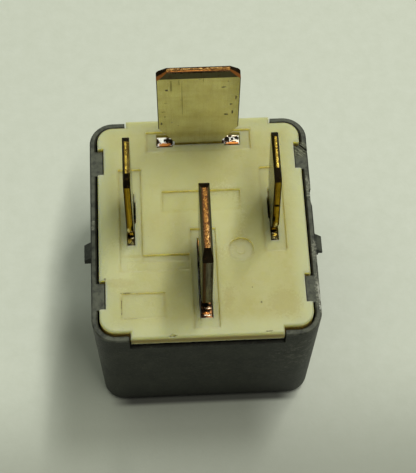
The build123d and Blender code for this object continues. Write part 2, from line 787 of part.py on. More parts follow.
# Winding
with BuildPart() as winding:
    with BuildSketch(Plane.XY.offset(winding_low)):
        with Locations((0, core_y)):
            Circle(winding_diameter / 2)
            Circle(bobbin_bore + bobbin_wall + winding_gap, mode=Mode.SUBTRACT)
    extrude(amount=winding_high - winding_low)
winding.part.label = "winding"
export_step(winding.part, "parts/winding.step")

# The coil's two ends, each wrapped and soldered on a coil terminal's tail
for side, name in ((-1, "coil_lead_start"), (1, "coil_lead_finish")):
    with BuildPart() as coil_lead:
        with BuildLine() as route:
            Line(
                (side * lead_start_x, lead_start_y, lead_z),
                (side * (coil_blade_x - coil_blade_thickness / 2), coil_tail_y, lead_z),
            )
        with BuildSketch(Plane(origin=route.line @ 0, z_dir=route.line % 0)):
            Circle(lead_diameter / 2)
        sweep()
        with BuildSketch(Plane.XY.offset(lead_z - lead_wrap_height / 2)):
            with Locations((side * coil_blade_x, coil_tail_y)):
                RectangleRounded(
                    coil_blade_thickness + 2 * lead_wrap_wall,
                    coil_tail_width + 2 * lead_wrap_wall,
                    lead_wrap_wall,
                )
        extrude(amount=lead_wrap_height)
        with BuildSketch(Plane.XY.offset(lead_z - lead_wrap_height / 2)):
            with Locations((side * coil_blade_x, coil_tail_y)):
                Rectangle(coil_blade_thickness, coil_tail_width)
        extrude(amount=lead_wrap_height, mode=Mode.SUBTRACT)
    coil_lead.part.label = name
    export_step(coil_lead.part, f"parts/{name}.step")

# Armature, open by a few degrees at rest
with BuildPart() as armature:
    with BuildSketch(rest_plane):
        Rectangle(armature_width, armature_length, align=(Align.CENTER, Align.MIN))
    extrude(amount=-armature_thickness)
    fillet(
        armature.edges().filter_by(Axis(rest_plane.origin, rest_plane.z_dir)).group_by(Axis.Y)[-1],
        radius=armature_corner,
    )
    chamfer(
        armature.edges().filter_by(Axis.X).group_by(Axis.Y)[0].sort_by(Axis.Z)[0],
        length=armature_tail_chamfer,
    )
    with BuildSketch(rest_plane):
        with Locations(*armature_rivet_places):
            Circle(rivet_diameter / 2)
    extrude(amount=-armature_thickness, mode=Mode.SUBTRACT)
armature.part.label = "armature"
export_step(armature.part, "parts/armature.step")

# Contact spring: two legs on the yoke, a bend at the hinge, and the blade under the armature
with BuildPart() as contact_spring:
    with BuildSketch(Plane.YZ):
        add(
            bent_strip(
                [
                    (spring_leg_y, spring_top_z),
                    (spring_leg_y, spring_turn_z),
                    at_rest(spring_length, spring_mid_height),
                ],
                spring_bend,
                spring_thickness,
            )
        )
    extrude(amount=spring_width / 2, both=True)
    with BuildSketch(rest_plane):
        with BuildLine():
            Polyline(
                (0, spring_back),
                (spring_width / 2, spring_back),
                (spring_width / 2, armature_length),
                (spring_tip_width / 2, contact_distance - moving_contact_diameter / 2),
                (spring_tip_width / 2, spring_length + spring_thickness),
                (0, spring_length + spring_thickness),
                close=True,
            )
        make_face()
        mirror(about=Plane.YZ)
        with Locations((0, spring_back)):
            Rectangle(
                spring_window,
                spring_window_length - spring_back,
                align=(Align.CENTER, Align.MIN),
                mode=Mode.SUBTRACT,
            )
        with Locations(*armature_rivet_places):
            Circle(rivet_diameter / 2, mode=Mode.SUBTRACT)
        with Locations((0, contact_distance)):
            Circle(contact_shank_diameter / 2, mode=Mode.SUBTRACT)
    extrude(amount=spring_top_z, both=True, mode=Mode.INTERSECT)
    with BuildSketch(Plane.XZ.offset(-yoke_outer_y)):
        with Locations((-rivet_spacing / 2, spring_rivet_z), (rivet_spacing / 2, spring_rivet_z)):
            Circle(rivet_diameter / 2)
    extrude(amount=spring_thickness, mode=Mode.SUBTRACT)
contact_spring.part.label = "contact_spring"
export_step(contact_spring.part, "parts/contact_spring.step")

# Rivets that hold the spring under the armature
with BuildPart() as armature_rivets:
    with BuildSketch(rest_plane):
        with Locations(*armature_rivet_places):
            Circle(rivet_diameter / 2)
    extrude(amount=-(armature_thickness + spring_thickness))
    with BuildSketch(rest_plane.offset(-(armature_thickness + spring_thickness))):
        with Locations(*armature_rivet_places):
            Circle(rivet_head_diameter / 2)
    extrude(amount=-rivet_head_height, taper=rivet_head_taper)
armature_rivets.part.label = "armature_rivets"
export_step(armature_rivets.part, "parts/armature_rivets.step")

# Rivets that hold the spring's legs on the yoke
with BuildPart() as spring_rivets:
    with BuildSketch(Plane.XZ.offset(-yoke_outer_y)):
        with Locations((-rivet_spacing / 2, spring_rivet_z), (rivet_spacing / 2, spring_rivet_z)):
            Circle(rivet_diameter / 2)
    extrude(amount=-yoke_thickness)
    extrude(spring_rivets.faces().sort_by(Axis.Y)[:2], amount=spring_thickness)
    for face_y, outwards in (
        (yoke_outer_y - spring_thickness, 1),
        (yoke_outer_y + yoke_thickness, -1),
    ):
        with BuildSketch(Plane.XZ.offset(-face_y)):
            with Locations((-rivet_spacing / 2, spring_rivet_z), (rivet_spacing / 2, spring_rivet_z)):
                Circle(rivet_head_diameter / 2)
        extrude(amount=outwards * rivet_head_height, taper=rivet_head_taper)
spring_rivets.part.label = "spring_rivets"
export_step(spring_rivets.part, "parts/spring_rivets.step")

# Moving contact, riveted through the spring's tip
with BuildPart() as moving_contact:
    with BuildSketch(rest_plane.offset(-armature_thickness)):
        with Locations((0, contact_distance)):
            Circle(moving_contact_diameter / 2)
    extrude(amount=moving_contact_height)
    fillet(
        moving_contact.edges().filter_by(GeomType.CIRCLE).sort_by(Axis.Z)[-1],
        radius=contact_edge,
    )
    with BuildSketch(rest_plane.offset(-armature_thickness)):
        with Locations((0, contact_distance)):
            Circle(contact_shank_diameter / 2)
    extrude(amount=-spring_thickness)
    with BuildSketch(rest_plane.offset(-(armature_thickness + spring_thickness))):
        with Locations((0, contact_distance)):
            Circle(contact_tail_diameter / 2)
    extrude(amount=-contact_tail_height, taper=rivet_head_taper)
moving_contact.part.label = "moving_contact"
export_step(moving_contact.part, "parts/moving_contact.step")

# Fixed contact, riveted through the load terminal's foot
with BuildPart() as fixed_contact:
    with BuildSketch(Plane.XY.offset(load_foot_under)):
        with Locations((0, contact_y)):
            Circle(fixed_contact_diameter / 2)
    extrude(amount=-fixed_contact_height)
    fillet(fixed_contact.faces().sort_by(Axis.Z)[0].edges(), radius=contact_edge)
    with BuildSketch(Plane.XY.offset(load_foot_under)):
        with Locations((0, contact_y)):
            Circle(contact_shank_diameter / 2)
    extrude(amount=wide_blade_thickness)
    with BuildSketch(Plane.XY.offset(load_foot_under + wide_blade_thickness)):
        with Locations((0, contact_y)):
            Circle(contact_tail_diameter / 2)
    extrude(amount=contact_tail_height, taper=rivet_head_taper)
fixed_contact.part.label = "fixed_contact"
export_step(fixed_contact.part, "parts/fixed_contact.step")

# Flat braid from the yoke, out between the spring's legs and back under the spring
with BuildPart() as braid:
    with BuildSketch(Plane.YZ):
        add(
            bent_strip(
                [
                    at_rest(braid_end_distance, braid_height),
                    braid_weld_end,
                    (braid_weld_end[0] - braid_fall, braid_low_z),
                    (yoke_outer_y + braid_turn_set_in, braid_low_z),
                    (yoke_outer_y - braid_bulge, braid_side_z),
                    (yoke_outer_y - braid_thickness / 2, braid_weld_z),
                    (yoke_outer_y - braid_thickness / 2, braid_top_z),
                ],
                braid_bends,
                braid_thickness,
            )
        )
    extrude(amount=braid_width / 2, both=True)
braid.part.label = "braid"
export_step(braid.part, "parts/braid.step")

# Stop bracket under the spring's tip
with BuildPart() as stop_bracket:
    with BuildSketch(Plane.XZ.offset(-fixed_blade_y)):
        with Locations((stop_leg_x, stop_foot_top - stop_foot_height)):
            Rectangle(
                stop_leg_width,
                base_under + stop_root - stop_foot_top + stop_foot_height,
                align=(Align.CENTER, Align.MIN),
            )
        with Locations((stop_leg_x + stop_leg_width / 2, stop_foot_top)):
            Rectangle(
                stop_foot_length,
                stop_foot_height,
                align=(Align.MAX, Align.MAX),
            )
    extrude(amount=stop_thickness / 2, both=True)
stop_bracket.part.label = "stop_bracket"
export_step(stop_bracket.part, "parts/stop_bracket.step")
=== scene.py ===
import math

import bmesh
import bpy
from mathutils import Matrix, Vector


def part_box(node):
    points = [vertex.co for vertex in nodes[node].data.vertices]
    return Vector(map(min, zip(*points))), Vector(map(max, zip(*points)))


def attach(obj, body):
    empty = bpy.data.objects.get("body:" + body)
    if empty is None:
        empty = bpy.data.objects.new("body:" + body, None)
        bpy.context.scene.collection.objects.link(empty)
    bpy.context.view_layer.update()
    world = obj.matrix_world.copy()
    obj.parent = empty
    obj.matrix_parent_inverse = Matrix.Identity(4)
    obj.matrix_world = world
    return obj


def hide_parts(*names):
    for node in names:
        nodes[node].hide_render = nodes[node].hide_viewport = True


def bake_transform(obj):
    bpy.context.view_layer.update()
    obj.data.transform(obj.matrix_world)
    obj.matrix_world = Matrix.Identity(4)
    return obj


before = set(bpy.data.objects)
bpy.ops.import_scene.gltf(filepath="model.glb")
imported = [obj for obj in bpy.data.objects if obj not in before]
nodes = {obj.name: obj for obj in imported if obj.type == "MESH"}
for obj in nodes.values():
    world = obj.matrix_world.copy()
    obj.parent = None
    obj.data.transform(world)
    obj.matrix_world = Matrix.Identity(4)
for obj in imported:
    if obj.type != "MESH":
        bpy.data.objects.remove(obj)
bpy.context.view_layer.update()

# A used automotive relay that stands on its closed end, with its terminals up. Blender's lengths
# are metres; the places of marks on the surfaces are given in millimetres, as on the drawing.

scene = bpy.context.scene
MM = 0.001
AXES = {"x": (1.0, 0.0, 0.0), "y": (0.0, 1.0, 0.0), "z": (0.0, 0.0, 1.0)}


def corners(node):
    """A node's lowest and highest corners at rest, in millimetres."""
    return [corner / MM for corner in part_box(node)]


rim_z = corners("cover")[1].z
base_top = corners("base")[1].z
shoulder_z = base_top - 0.8
tip_z = corners("terminal_load_fixed")[1].z


class Graph:
    """A node tree, with short calls for the nodes that the finishes use."""

    def __init__(self, tree):
        self.tree = tree

    def feed(self, socket, value):
        if isinstance(value, bpy.types.NodeSocket):
            self.tree.links.new(value, socket)
        elif socket.type == "RGBA" and len(value) == 3:
            socket.default_value = (*value, 1.0)
        else:
            socket.default_value = value

    def node(self, kind, inputs=None, **settings):
        made = self.tree.nodes.new(kind)
        for name, value in settings.items():
            setattr(made, name, value)
        for name, value in (inputs or {}).items():
            self.feed(made.inputs[name], value)
        return made

    def math(self, operation, first, second=0.0, clamp=False):
        made = self.node("ShaderNodeMath", operation=operation, use_clamp=clamp)
        self.feed(made.inputs[0], first)
        self.feed(made.inputs[1], second)
        return made.outputs[0]

    def vector(self, operation, first, second=(0.0, 0.0, 0.0)):
        made = self.node("ShaderNodeVectorMath", operation=operation)
        self.feed(made.inputs[0], first)
        self.feed(made.inputs[1], second)
        return made.outputs["Value" if operation in ("LENGTH", "DOT_PRODUCT") else "Vector"]

    def split(self, vector):
        return self.node("ShaderNodeSeparateXYZ", {"Vector": vector}).outputs

    def join(self, x, y, z):
        return self.node("ShaderNodeCombineXYZ", {"X": x, "Y": y, "Z": z}).outputs[0]

    def turned(self, vector, axis, degrees):
        """The vector, turned about one of the axes."""
        made = self.node("ShaderNodeVectorRotate", rotation_type="AXIS_ANGLE")
        self.feed(made.inputs["Vector"], vector)
        self.feed(made.inputs["Axis"], AXES[axis])
        self.feed(made.inputs["Angle"], math.radians(degrees))
        return made.outputs[0]

    def step(self, value, low, high):
        """0 below low, 1 above high, smooth between them; turned round where low is larger."""
        made = self.node("ShaderNodeMapRange", interpolation_type="SMOOTHSTEP")
        made.inputs["To Min"].default_value = 0.0 if low <= high else 1.0
        made.inputs["To Max"].default_value = 1.0 if low <= high else 0.0
        self.feed(made.inputs["Value"], value)
        made.inputs["From Min"].default_value = min(low, high)
        made.inputs["From Max"].default_value = max(low, high)
        return made.outputs["Result"]

    def between(self, value, low, high, soft):
        """1 from low to high and 0 outside them."""
        return self.math(
            "MULTIPLY",
            self.step(value, low - soft, low + soft),
            self.step(value, high + soft, high - soft),
        )

    def product(self, *masks):
        found = masks[0]
        for mask in masks[1:]:
            found = self.math("MULTIPLY", found, mask)
        return found

    def most(self, *masks):
        found = masks[0]
        for mask in masks[1:]:
            found = self.math("MAXIMUM", found, mask)
        return found

    def scaled(self, value, factor):
        return self.math("MULTIPLY", value, factor)

    def plus(self, value, other, share):
        """The value and a share of the other one."""
        return self.math("ADD", value, self.scaled(other, share))

    def opposite(self, mask):
        return self.math("SUBTRACT", 1.0, mask)

    def mix(self, factor, first, second):
        made = self.node("ShaderNodeMix", data_type="RGBA")
        self.feed(made.inputs[0], factor)
        self.feed(made.inputs[6], first)
        self.feed(made.inputs[7], second)
        return made.outputs[2]

    def over(self, colour, tint, mask, strength):
        """The colour, with a tint over it where the mask is 1."""
        return self.mix(self.scaled(mask, strength), colour, tint)

    def noise(self, vector, scale, detail=3.0, roughness=0.5):
        inputs = {"Vector": vector, "Scale": scale, "Detail": detail, "Roughness": roughness}
        return self.node("ShaderNodeTexNoise", inputs).outputs["Fac"]

    def cells(self, vector, scale):
        inputs = {"Vector": vector, "Scale": scale}
        return self.node("ShaderNodeTexVoronoi", inputs).outputs["Distance"]

    def bump(self, height, distance, strength=1.0):
        """A bump whose height of 1 stands for so many millimetres."""
        inputs = {"Height": height, "Distance": distance * MM, "Strength": strength}
        return self.node("ShaderNodeBump", inputs).outputs["Normal"]

    def place(self):
        """Where a point lies on the part, in millimetres."""
        where = self.node("ShaderNodeTexCoord").outputs["Object"]
        made = self.node("ShaderNodeVectorMath", operation="SCALE")
        self.feed(made.inputs[0], where)
        made.inputs["Scale"].default_value = 1.0 / MM
        return made.outputs["Vector"]

    def facing(self):
        """The outward direction of the surface, on the part's own axes."""
        return self.node("ShaderNodeTexCoord").outputs["Normal"]

    def effect(self, group, **inputs):
        made = self.node("ShaderNodeGroup", node_tree=group)
        for name, value in inputs.items():
            self.feed(made.inputs[name.replace("_", " ")], value)
        return made.outputs


def effect_group(name, inputs, outputs):
    """An empty shader group with its sockets, and the graph, inputs and output node to fill it."""
    group = bpy.data.node_groups.new(name, "ShaderNodeTree")
    for label, kind, value in inputs:
        socket = group.interface.new_socket(name=label, in_out="INPUT", socket_type=kind)
        if value is not None:
            socket.default_value = value
    for label, kind in outputs:
        group.interface.new_socket(name=label, in_out="OUTPUT", socket_type=kind)
    graph = Graph(group)
    given = graph.node("NodeGroupInput").outputs
    result = graph.node("NodeGroupOutput").inputs
    return group, graph, given, result


def spot_effect():
    """A mark of worn, dirty or cut surface: a ragged ellipse at a given place."""
    group, graph, given, result = effect_group(
        "spot mark",
        [
            ("Position", "NodeSocketVector", None),
            ("Centre", "NodeSocketVector", None),
            ("Reach", "NodeSocketVector", (1.0, 1.0, 1.0)),
            ("Ragged", "NodeSocketFloat", 0.3),
            ("Grain", "NodeSocketFloat", 4.0),
        ],
        [("Mask", "NodeSocketFloat")],
    )
    offset = graph.vector("SUBTRACT", given["Position"], given["Centre"])
    share = graph.vector("LENGTH", graph.vector("DIVIDE", offset, given["Reach"]))
    noise = graph.math("SUBTRACT", graph.noise(given["Position"], given["Grain"], 4.0, 0.6), 0.5)
    torn = graph.math("MULTIPLY", noise, graph.scaled(given["Ragged"], 4.0))
    broken = graph.math("ADD", share, torn)
    graph.feed(result["Mask"], graph.step(broken, 1.0, 0.6))
    return group


def outline_effect():
    """The outline of a moulded rectangle, as a thin line along it."""
    group, graph, given, result = effect_group(
        "moulded outline",
        [
            ("Position", "NodeSocketVector", None),
            ("Centre", "NodeSocketVector", None),
            ("Half Size", "NodeSocketVector", (1.0, 1.0, 0.0)),
            ("Corner", "NodeSocketFloat", 0.1),
            ("Line", "NodeSocketFloat", 0.2),
        ],
        [("Line", "NodeSocketFloat")],
    )
    offset = graph.vector("ABSOLUTE", graph.vector("SUBTRACT", given["Position"], given["Centre"]))
    past = graph.split(graph.vector("SUBTRACT", offset, given["Half Size"]))
    x = graph.math("ADD", past["X"], given["Corner"])
    y = graph.math("ADD", past["Y"], given["Corner"])
    outside = graph.vector(
        "LENGTH", graph.join(graph.math("MAXIMUM", x, 0.0), graph.math("MAXIMUM", y, 0.0), 0.0)
    )
    inner = graph.math("MINIMUM", graph.math("MAXIMUM", x, y), 0.0)
    distance = graph.math("SUBTRACT", graph.math("ADD", outside, inner), given["Corner"])
    share = graph.math("DIVIDE", graph.math("ABSOLUTE", distance), given["Line"])
    graph.feed(result["Line"], graph.step(share, 1.0, 0.2))
    return group


def grain_effect():
    """The skin of a moulded or sheared surface: fine relief, and a slow change of tone."""
    group, graph, given, result = effect_group(
        "surface grain",
        [
            ("Position", "NodeSocketVector", None),
            ("Fine", "NodeSocketFloat", 6.0),
            ("Coarse", "NodeSocketFloat", 0.3),
        ],
        [
            ("Relief", "NodeSocketFloat"),
            ("Tone", "NodeSocketFloat"),
            ("Speckle", "NodeSocketFloat"),
        ],
    )
    fine = graph.noise(given["Position"], given["Fine"], 5.0, 0.65)
    coarse = graph.noise(given["Position"], given["Coarse"], 4.0, 0.55)
    cells = graph.cells(given["Position"], graph.scaled(given["Fine"], 0.7))
    graph.feed(result["Relief"], fine)
    graph.feed(result["Tone"], graph.step(coarse, 0.3, 0.7))
    graph.feed(result["Speckle"], graph.step(cells, 0.22, 0.08))
    return group


def scratch_effect():
    """Fine scratches in three directions across one face, only where the face was rubbed."""
    group, graph, given, result = effect_group(
        "scratches",
        [
            ("Position", "NodeSocketVector", None),
            ("Fineness", "NodeSocketFloat", 3.0),
            ("Spread", "NodeSocketFloat", 0.5),
        ],
        [("Mask", "NodeSocketFloat")],
    )
    lines = []
    for turn, stretch, shift in ((12.0, 14.0, 0.0), (71.0, 18.0, 5.3), (-38.0, 11.0, 9.1)):
        turned = graph.turned(graph.turned(given["Position"], "z", turn), "x", turn)
        x, y, z = graph.split(turned)
        along = graph.join(
            graph.math("DIVIDE", x, stretch),
            graph.math("ADD", y, shift),
            graph.math("ADD", z, shift),
        )
        wave = graph.noise(along, given["Fineness"], 2.0, 0.4)
        line = graph.step(graph.math("ABSOLUTE", graph.math("SUBTRACT", wave, 0.5)), 0.012, 0.0)
        lines.append(line)
    patch = graph.noise(given["Position"], 0.5, 3.0, 0.6)
    limit = graph.opposite(given["Spread"])
    worn = graph.math("MULTIPLY", graph.math("SUBTRACT", patch, limit), 6.0, clamp=True)
    graph.feed(result["Mask"], graph.math("MULTIPLY", graph.most(*lines), worn))
    return group


SPOT = spot_effect()
OUTLINE = outline_effect()
GRAIN = grain_effect()
SCRATCHES = scratch_effect()


def finish_material(name, **constants):
    """A new material: its graph, and its Principled shader with the constants set on it."""
    material = bpy.data.materials.new(name)
    material.use_nodes = True
    material.node_tree.nodes.clear()
    graph = Graph(material.node_tree)
    shader = graph.node("ShaderNodeBsdfPrincipled")
    output = graph.node("ShaderNodeOutputMaterial")
    graph.feed(output.inputs["Surface"], shader.outputs[0])
    for label, value in constants.items():
        graph.feed(shader.inputs[label.replace("_", " ")], value)
    return material, graph, shader.inputs


def marks(graph, place, rows):
    """The masks of a list of spot marks, as one: each row is a centre, a reach and a raggedness."""
    if not rows:
        return 0.0
    masks = [
        graph.effect(SPOT, Position=place, Centre=centre, Reach=reach, Ragged=ragged)["Mask"]
        for centre, reach, ragged in rows
    ]
    return graph.most(*masks)


# Moulded plastics


TORN_TAB = (12.2, 9.75)     # its middle, in millimetres
TOOL_WAY = 42.0             # degrees
NOTCH_HALF = 8.85
NOTCH_FLOOR = (2.7, 2.25)   # below the rim: the lowest and highest point of its floor


def cover_plastic():
    """Dark grey glass-filled nylon: matt and mottled, rubbed light at its rim and corners, with
    painted shade low down and under the base's tongue.
    """
    material, graph, shader = finish_material(
        "cover plastic", Metallic=0.0, IOR=1.5, Specular_IOR_Level=0.28
    )
    place = graph.place()
    x, y, z = graph.split(place)
    grain = graph.effect(GRAIN, Position=place, Fine=4.5, Coarse=0.35)
    colour = graph.mix(grain["Tone"], (0.011, 0.013, 0.010), (0.025, 0.028, 0.020))
    mottle = graph.step(graph.noise(place, 2.0, 5.0, 0.7), 0.48, 0.68)
    colour = graph.over(colour, (0.055, 0.060, 0.042), mottle, 0.55)
    colour = graph.over(colour, (0.085, 0.088, 0.066), grain["Speckle"], 0.45)
    # The mould's upper edges are rubbed to a thin paler line, and the rim's face is worn in places
    outer = graph.step(z, rim_z - 0.32, rim_z - 0.08)
    flat_top = graph.step(graph.vector("DOT_PRODUCT", graph.facing(), AXES["z"]), 0.8, 0.95)
    worn = graph.step(graph.noise(place, 1.1, 5.0, 0.65), 0.32, 0.60)
    face_wear = graph.product(outer, flat_top, graph.scaled(worn, 0.7))
    colour = graph.mix(face_wear, colour, (0.10, 0.108, 0.075))
    edge = graph.product(outer, graph.opposite(flat_top))
    edge_wear = graph.product(edge, graph.scaled(worn, 0.6))
    colour = graph.mix(edge_wear, colour, (0.11, 0.115, 0.085))
    sharp = graph.product(edge, graph.step(y, -11.0, -7.0))
    colour = graph.over(colour, (0.010, 0.011, 0.009), sharp, 0.75)
    # Scuffs on the right side's outer edge, nicks in the left rim, and the torn tab
    scuffs = marks(
        graph,
        place,
        [
            ((12.98, -8.7, rim_z - 0.1), (0.45, 2.6, 0.4), 0.4),
            ((12.92, -9.9, rim_z - 0.1), (0.28, 0.35, 0.3), 0.4),
            ((13.1, -11.2, rim_z - 0.2), (0.3, 0.7, 0.3), 0.5),
            ((12.7, -12.6, rim_z - 0.3), (0.5, 0.5, 0.4), 0.6),
            ((13.0, -4.0, rim_z), (0.45, 1.7, 0.6), 0.4),
            ((12.95, 4.2, rim_z - 0.1), (0.4, 1.5, 0.4), 0.4),
            ((12.8, 5.6, rim_z), (0.22, 0.5, 0.3), 0.6),
            ((-12.84, 0.9, rim_z), (0.26, 0.3, 0.2), 0.4),
            ((-12.9, 0.1, rim_z), (0.24, 0.35, 0.2), 0.4),
        ],
    )
    broken = graph.step(graph.noise(place, 3.2, 5.0, 0.7), 0.40, 0.58)
    scuffs = graph.math("MULTIPLY", scuffs, graph.plus(0.15, broken, 0.85))
    colour = graph.over(colour, (0.27, 0.275, 0.215), scuffs, 0.8)
    chips = marks(
        graph,
        place,
        [
            ((13.0, -8.6, rim_z - 0.05), (0.14, 0.6, 0.3), 0.8),
            ((13.05, -9.8, rim_z - 0.05), (0.14, 0.7, 0.3), 0.8),
            ((13.0, -11.0, rim_z - 0.1), (0.12, 0.5, 0.3), 0.8),
            ((12.95, 3.6, rim_z - 0.05), (0.1, 0.3, 0.3), 0.8),
        ],
    )
    colour = graph.over(colour, (0.52, 0.53, 0.46), chips, 0.7)
    lug = marks(graph, place, [((13.7, -2.6, rim_z - 0.4), (0.5, 1.15, 1.0), 0.3)])
    colour = graph.over(colour, (0.085, 0.09, 0.068), lug, 0.6)
    # The torn tab: pale grooves across it, in the way the tool went
    tab = graph.vector("SUBTRACT", place, (*TORN_TAB, rim_z))
    across = graph.split(graph.turned(tab, "z", TOOL_WAY))
    drawn = graph.join(graph.scaled(across["X"], 0.35), graph.scaled(across["Y"], 3.2), 0.0)
    ridge = graph.noise(drawn, 2.3, 5.0, 0.75)
    torn = graph.product(
        graph.step(graph.vector("LENGTH", tab), 1.35, 0.75), graph.step(ridge, 0.43, 0.56)
    )
    colour = graph.over(colour, (0.29, 0.30, 0.205), torn, 0.8)
    scratches = graph.effect(SCRATCHES, Position=place, Fineness=1.6, Spread=0.5)["Mask"]
    colour = graph.over(colour, (0.10, 0.105, 0.08), scratches, 0.25)
    # Handling has rubbed the right front corner of the wall
    rubbed = marks(graph, place, [((11.9, -13.2, 14.5), (4.6, 2.6, 5.5), 0.8)])
    patch = graph.step(graph.noise(place, 1.8, 4.0, 0.65), 0.45, 0.62)
    colour = graph.over(colour, (0.13, 0.135, 0.105), graph.product(rubbed, patch), 0.6)
    # Painted shade: the wall is darker towards its foot, where the floor before it lies in shadow
    low = graph.step(z, 5.5, 0.8)
    colour = graph.over(colour, (0.009, 0.010, 0.007), low, 0.6)
    # Painted shadow: the front notch's floor, under the base's tongue, is painted near black where
    # the tongue shades it
    notch_shadow = graph.product(
        graph.between(x, -NOTCH_HALF, NOTCH_HALF, 0.05),
        graph.between(z, rim_z - NOTCH_FLOOR[0], rim_z - NOTCH_FLOOR[1], 0.05),
        graph.between(y, -13.9, -12.0, 0.12),
    )
    colour = graph.over(colour, (0.003, 0.003, 0.002), notch_shadow, 0.9)
    # Painted contact shadow: the cover is near black at its foot, where it meets the floor
    foot = graph.step(z, 1.7, 0.4)
    colour = graph.over(colour, (0.003, 0.003, 0.003), foot, 0.85)
    graph.feed(shader["Base Color"], colour)
    rough = graph.plus(0.40, grain["Relief"], 0.25)
    rough = graph.plus(rough, graph.most(scuffs, scratches), 0.15)
    graph.feed(shader["Roughness"], rough)
    height = graph.plus(graph.scaled(grain["Relief"], 0.8), scratches, -0.4)
    height = graph.math("SUBTRACT", height, graph.scaled(scuffs, graph.noise(place, 7.0, 4.0, 0.7)))
    height = graph.plus(height, torn, 1.5)
    graph.feed(shader["Normal"], graph.bump(height, 0.06, 0.9))
    return material


BASE_HALF = (12.2, 13.9)
# Where the slot's black shadow is painted, beside the common blade
COMMON_SLOT_SHADOW = ((-0.81, -0.5), (-10.9, -2.3))     # along x and y, left of the common blade
# The moulded pockets and panels in the base's top face: centre, half size and corner
POCKETS = [
    ((0.0, 11.18), (6.3, 1.375), 0.1),
    ((0.0, -6.93), (1.5, 6.275), 0.1),
    ((8.4, 1.65), (1.35, 5.6), 0.4),
    ((-8.4, 1.4), (1.35, 6.1), 0.1),
    ((-5.7, -4.275), (4.05, 0.425), 0.1),
    ((-5.7, -5.3), (4.05, 0.6), 0.1),
    ((4.35, -3.55), (1.5, 1.5), 1.5),
    ((-7.2, -10.2), (2.5, 1.55), 0.1),
    ((0.0, 3.05), (4.65, 1.35), 0.1),
]


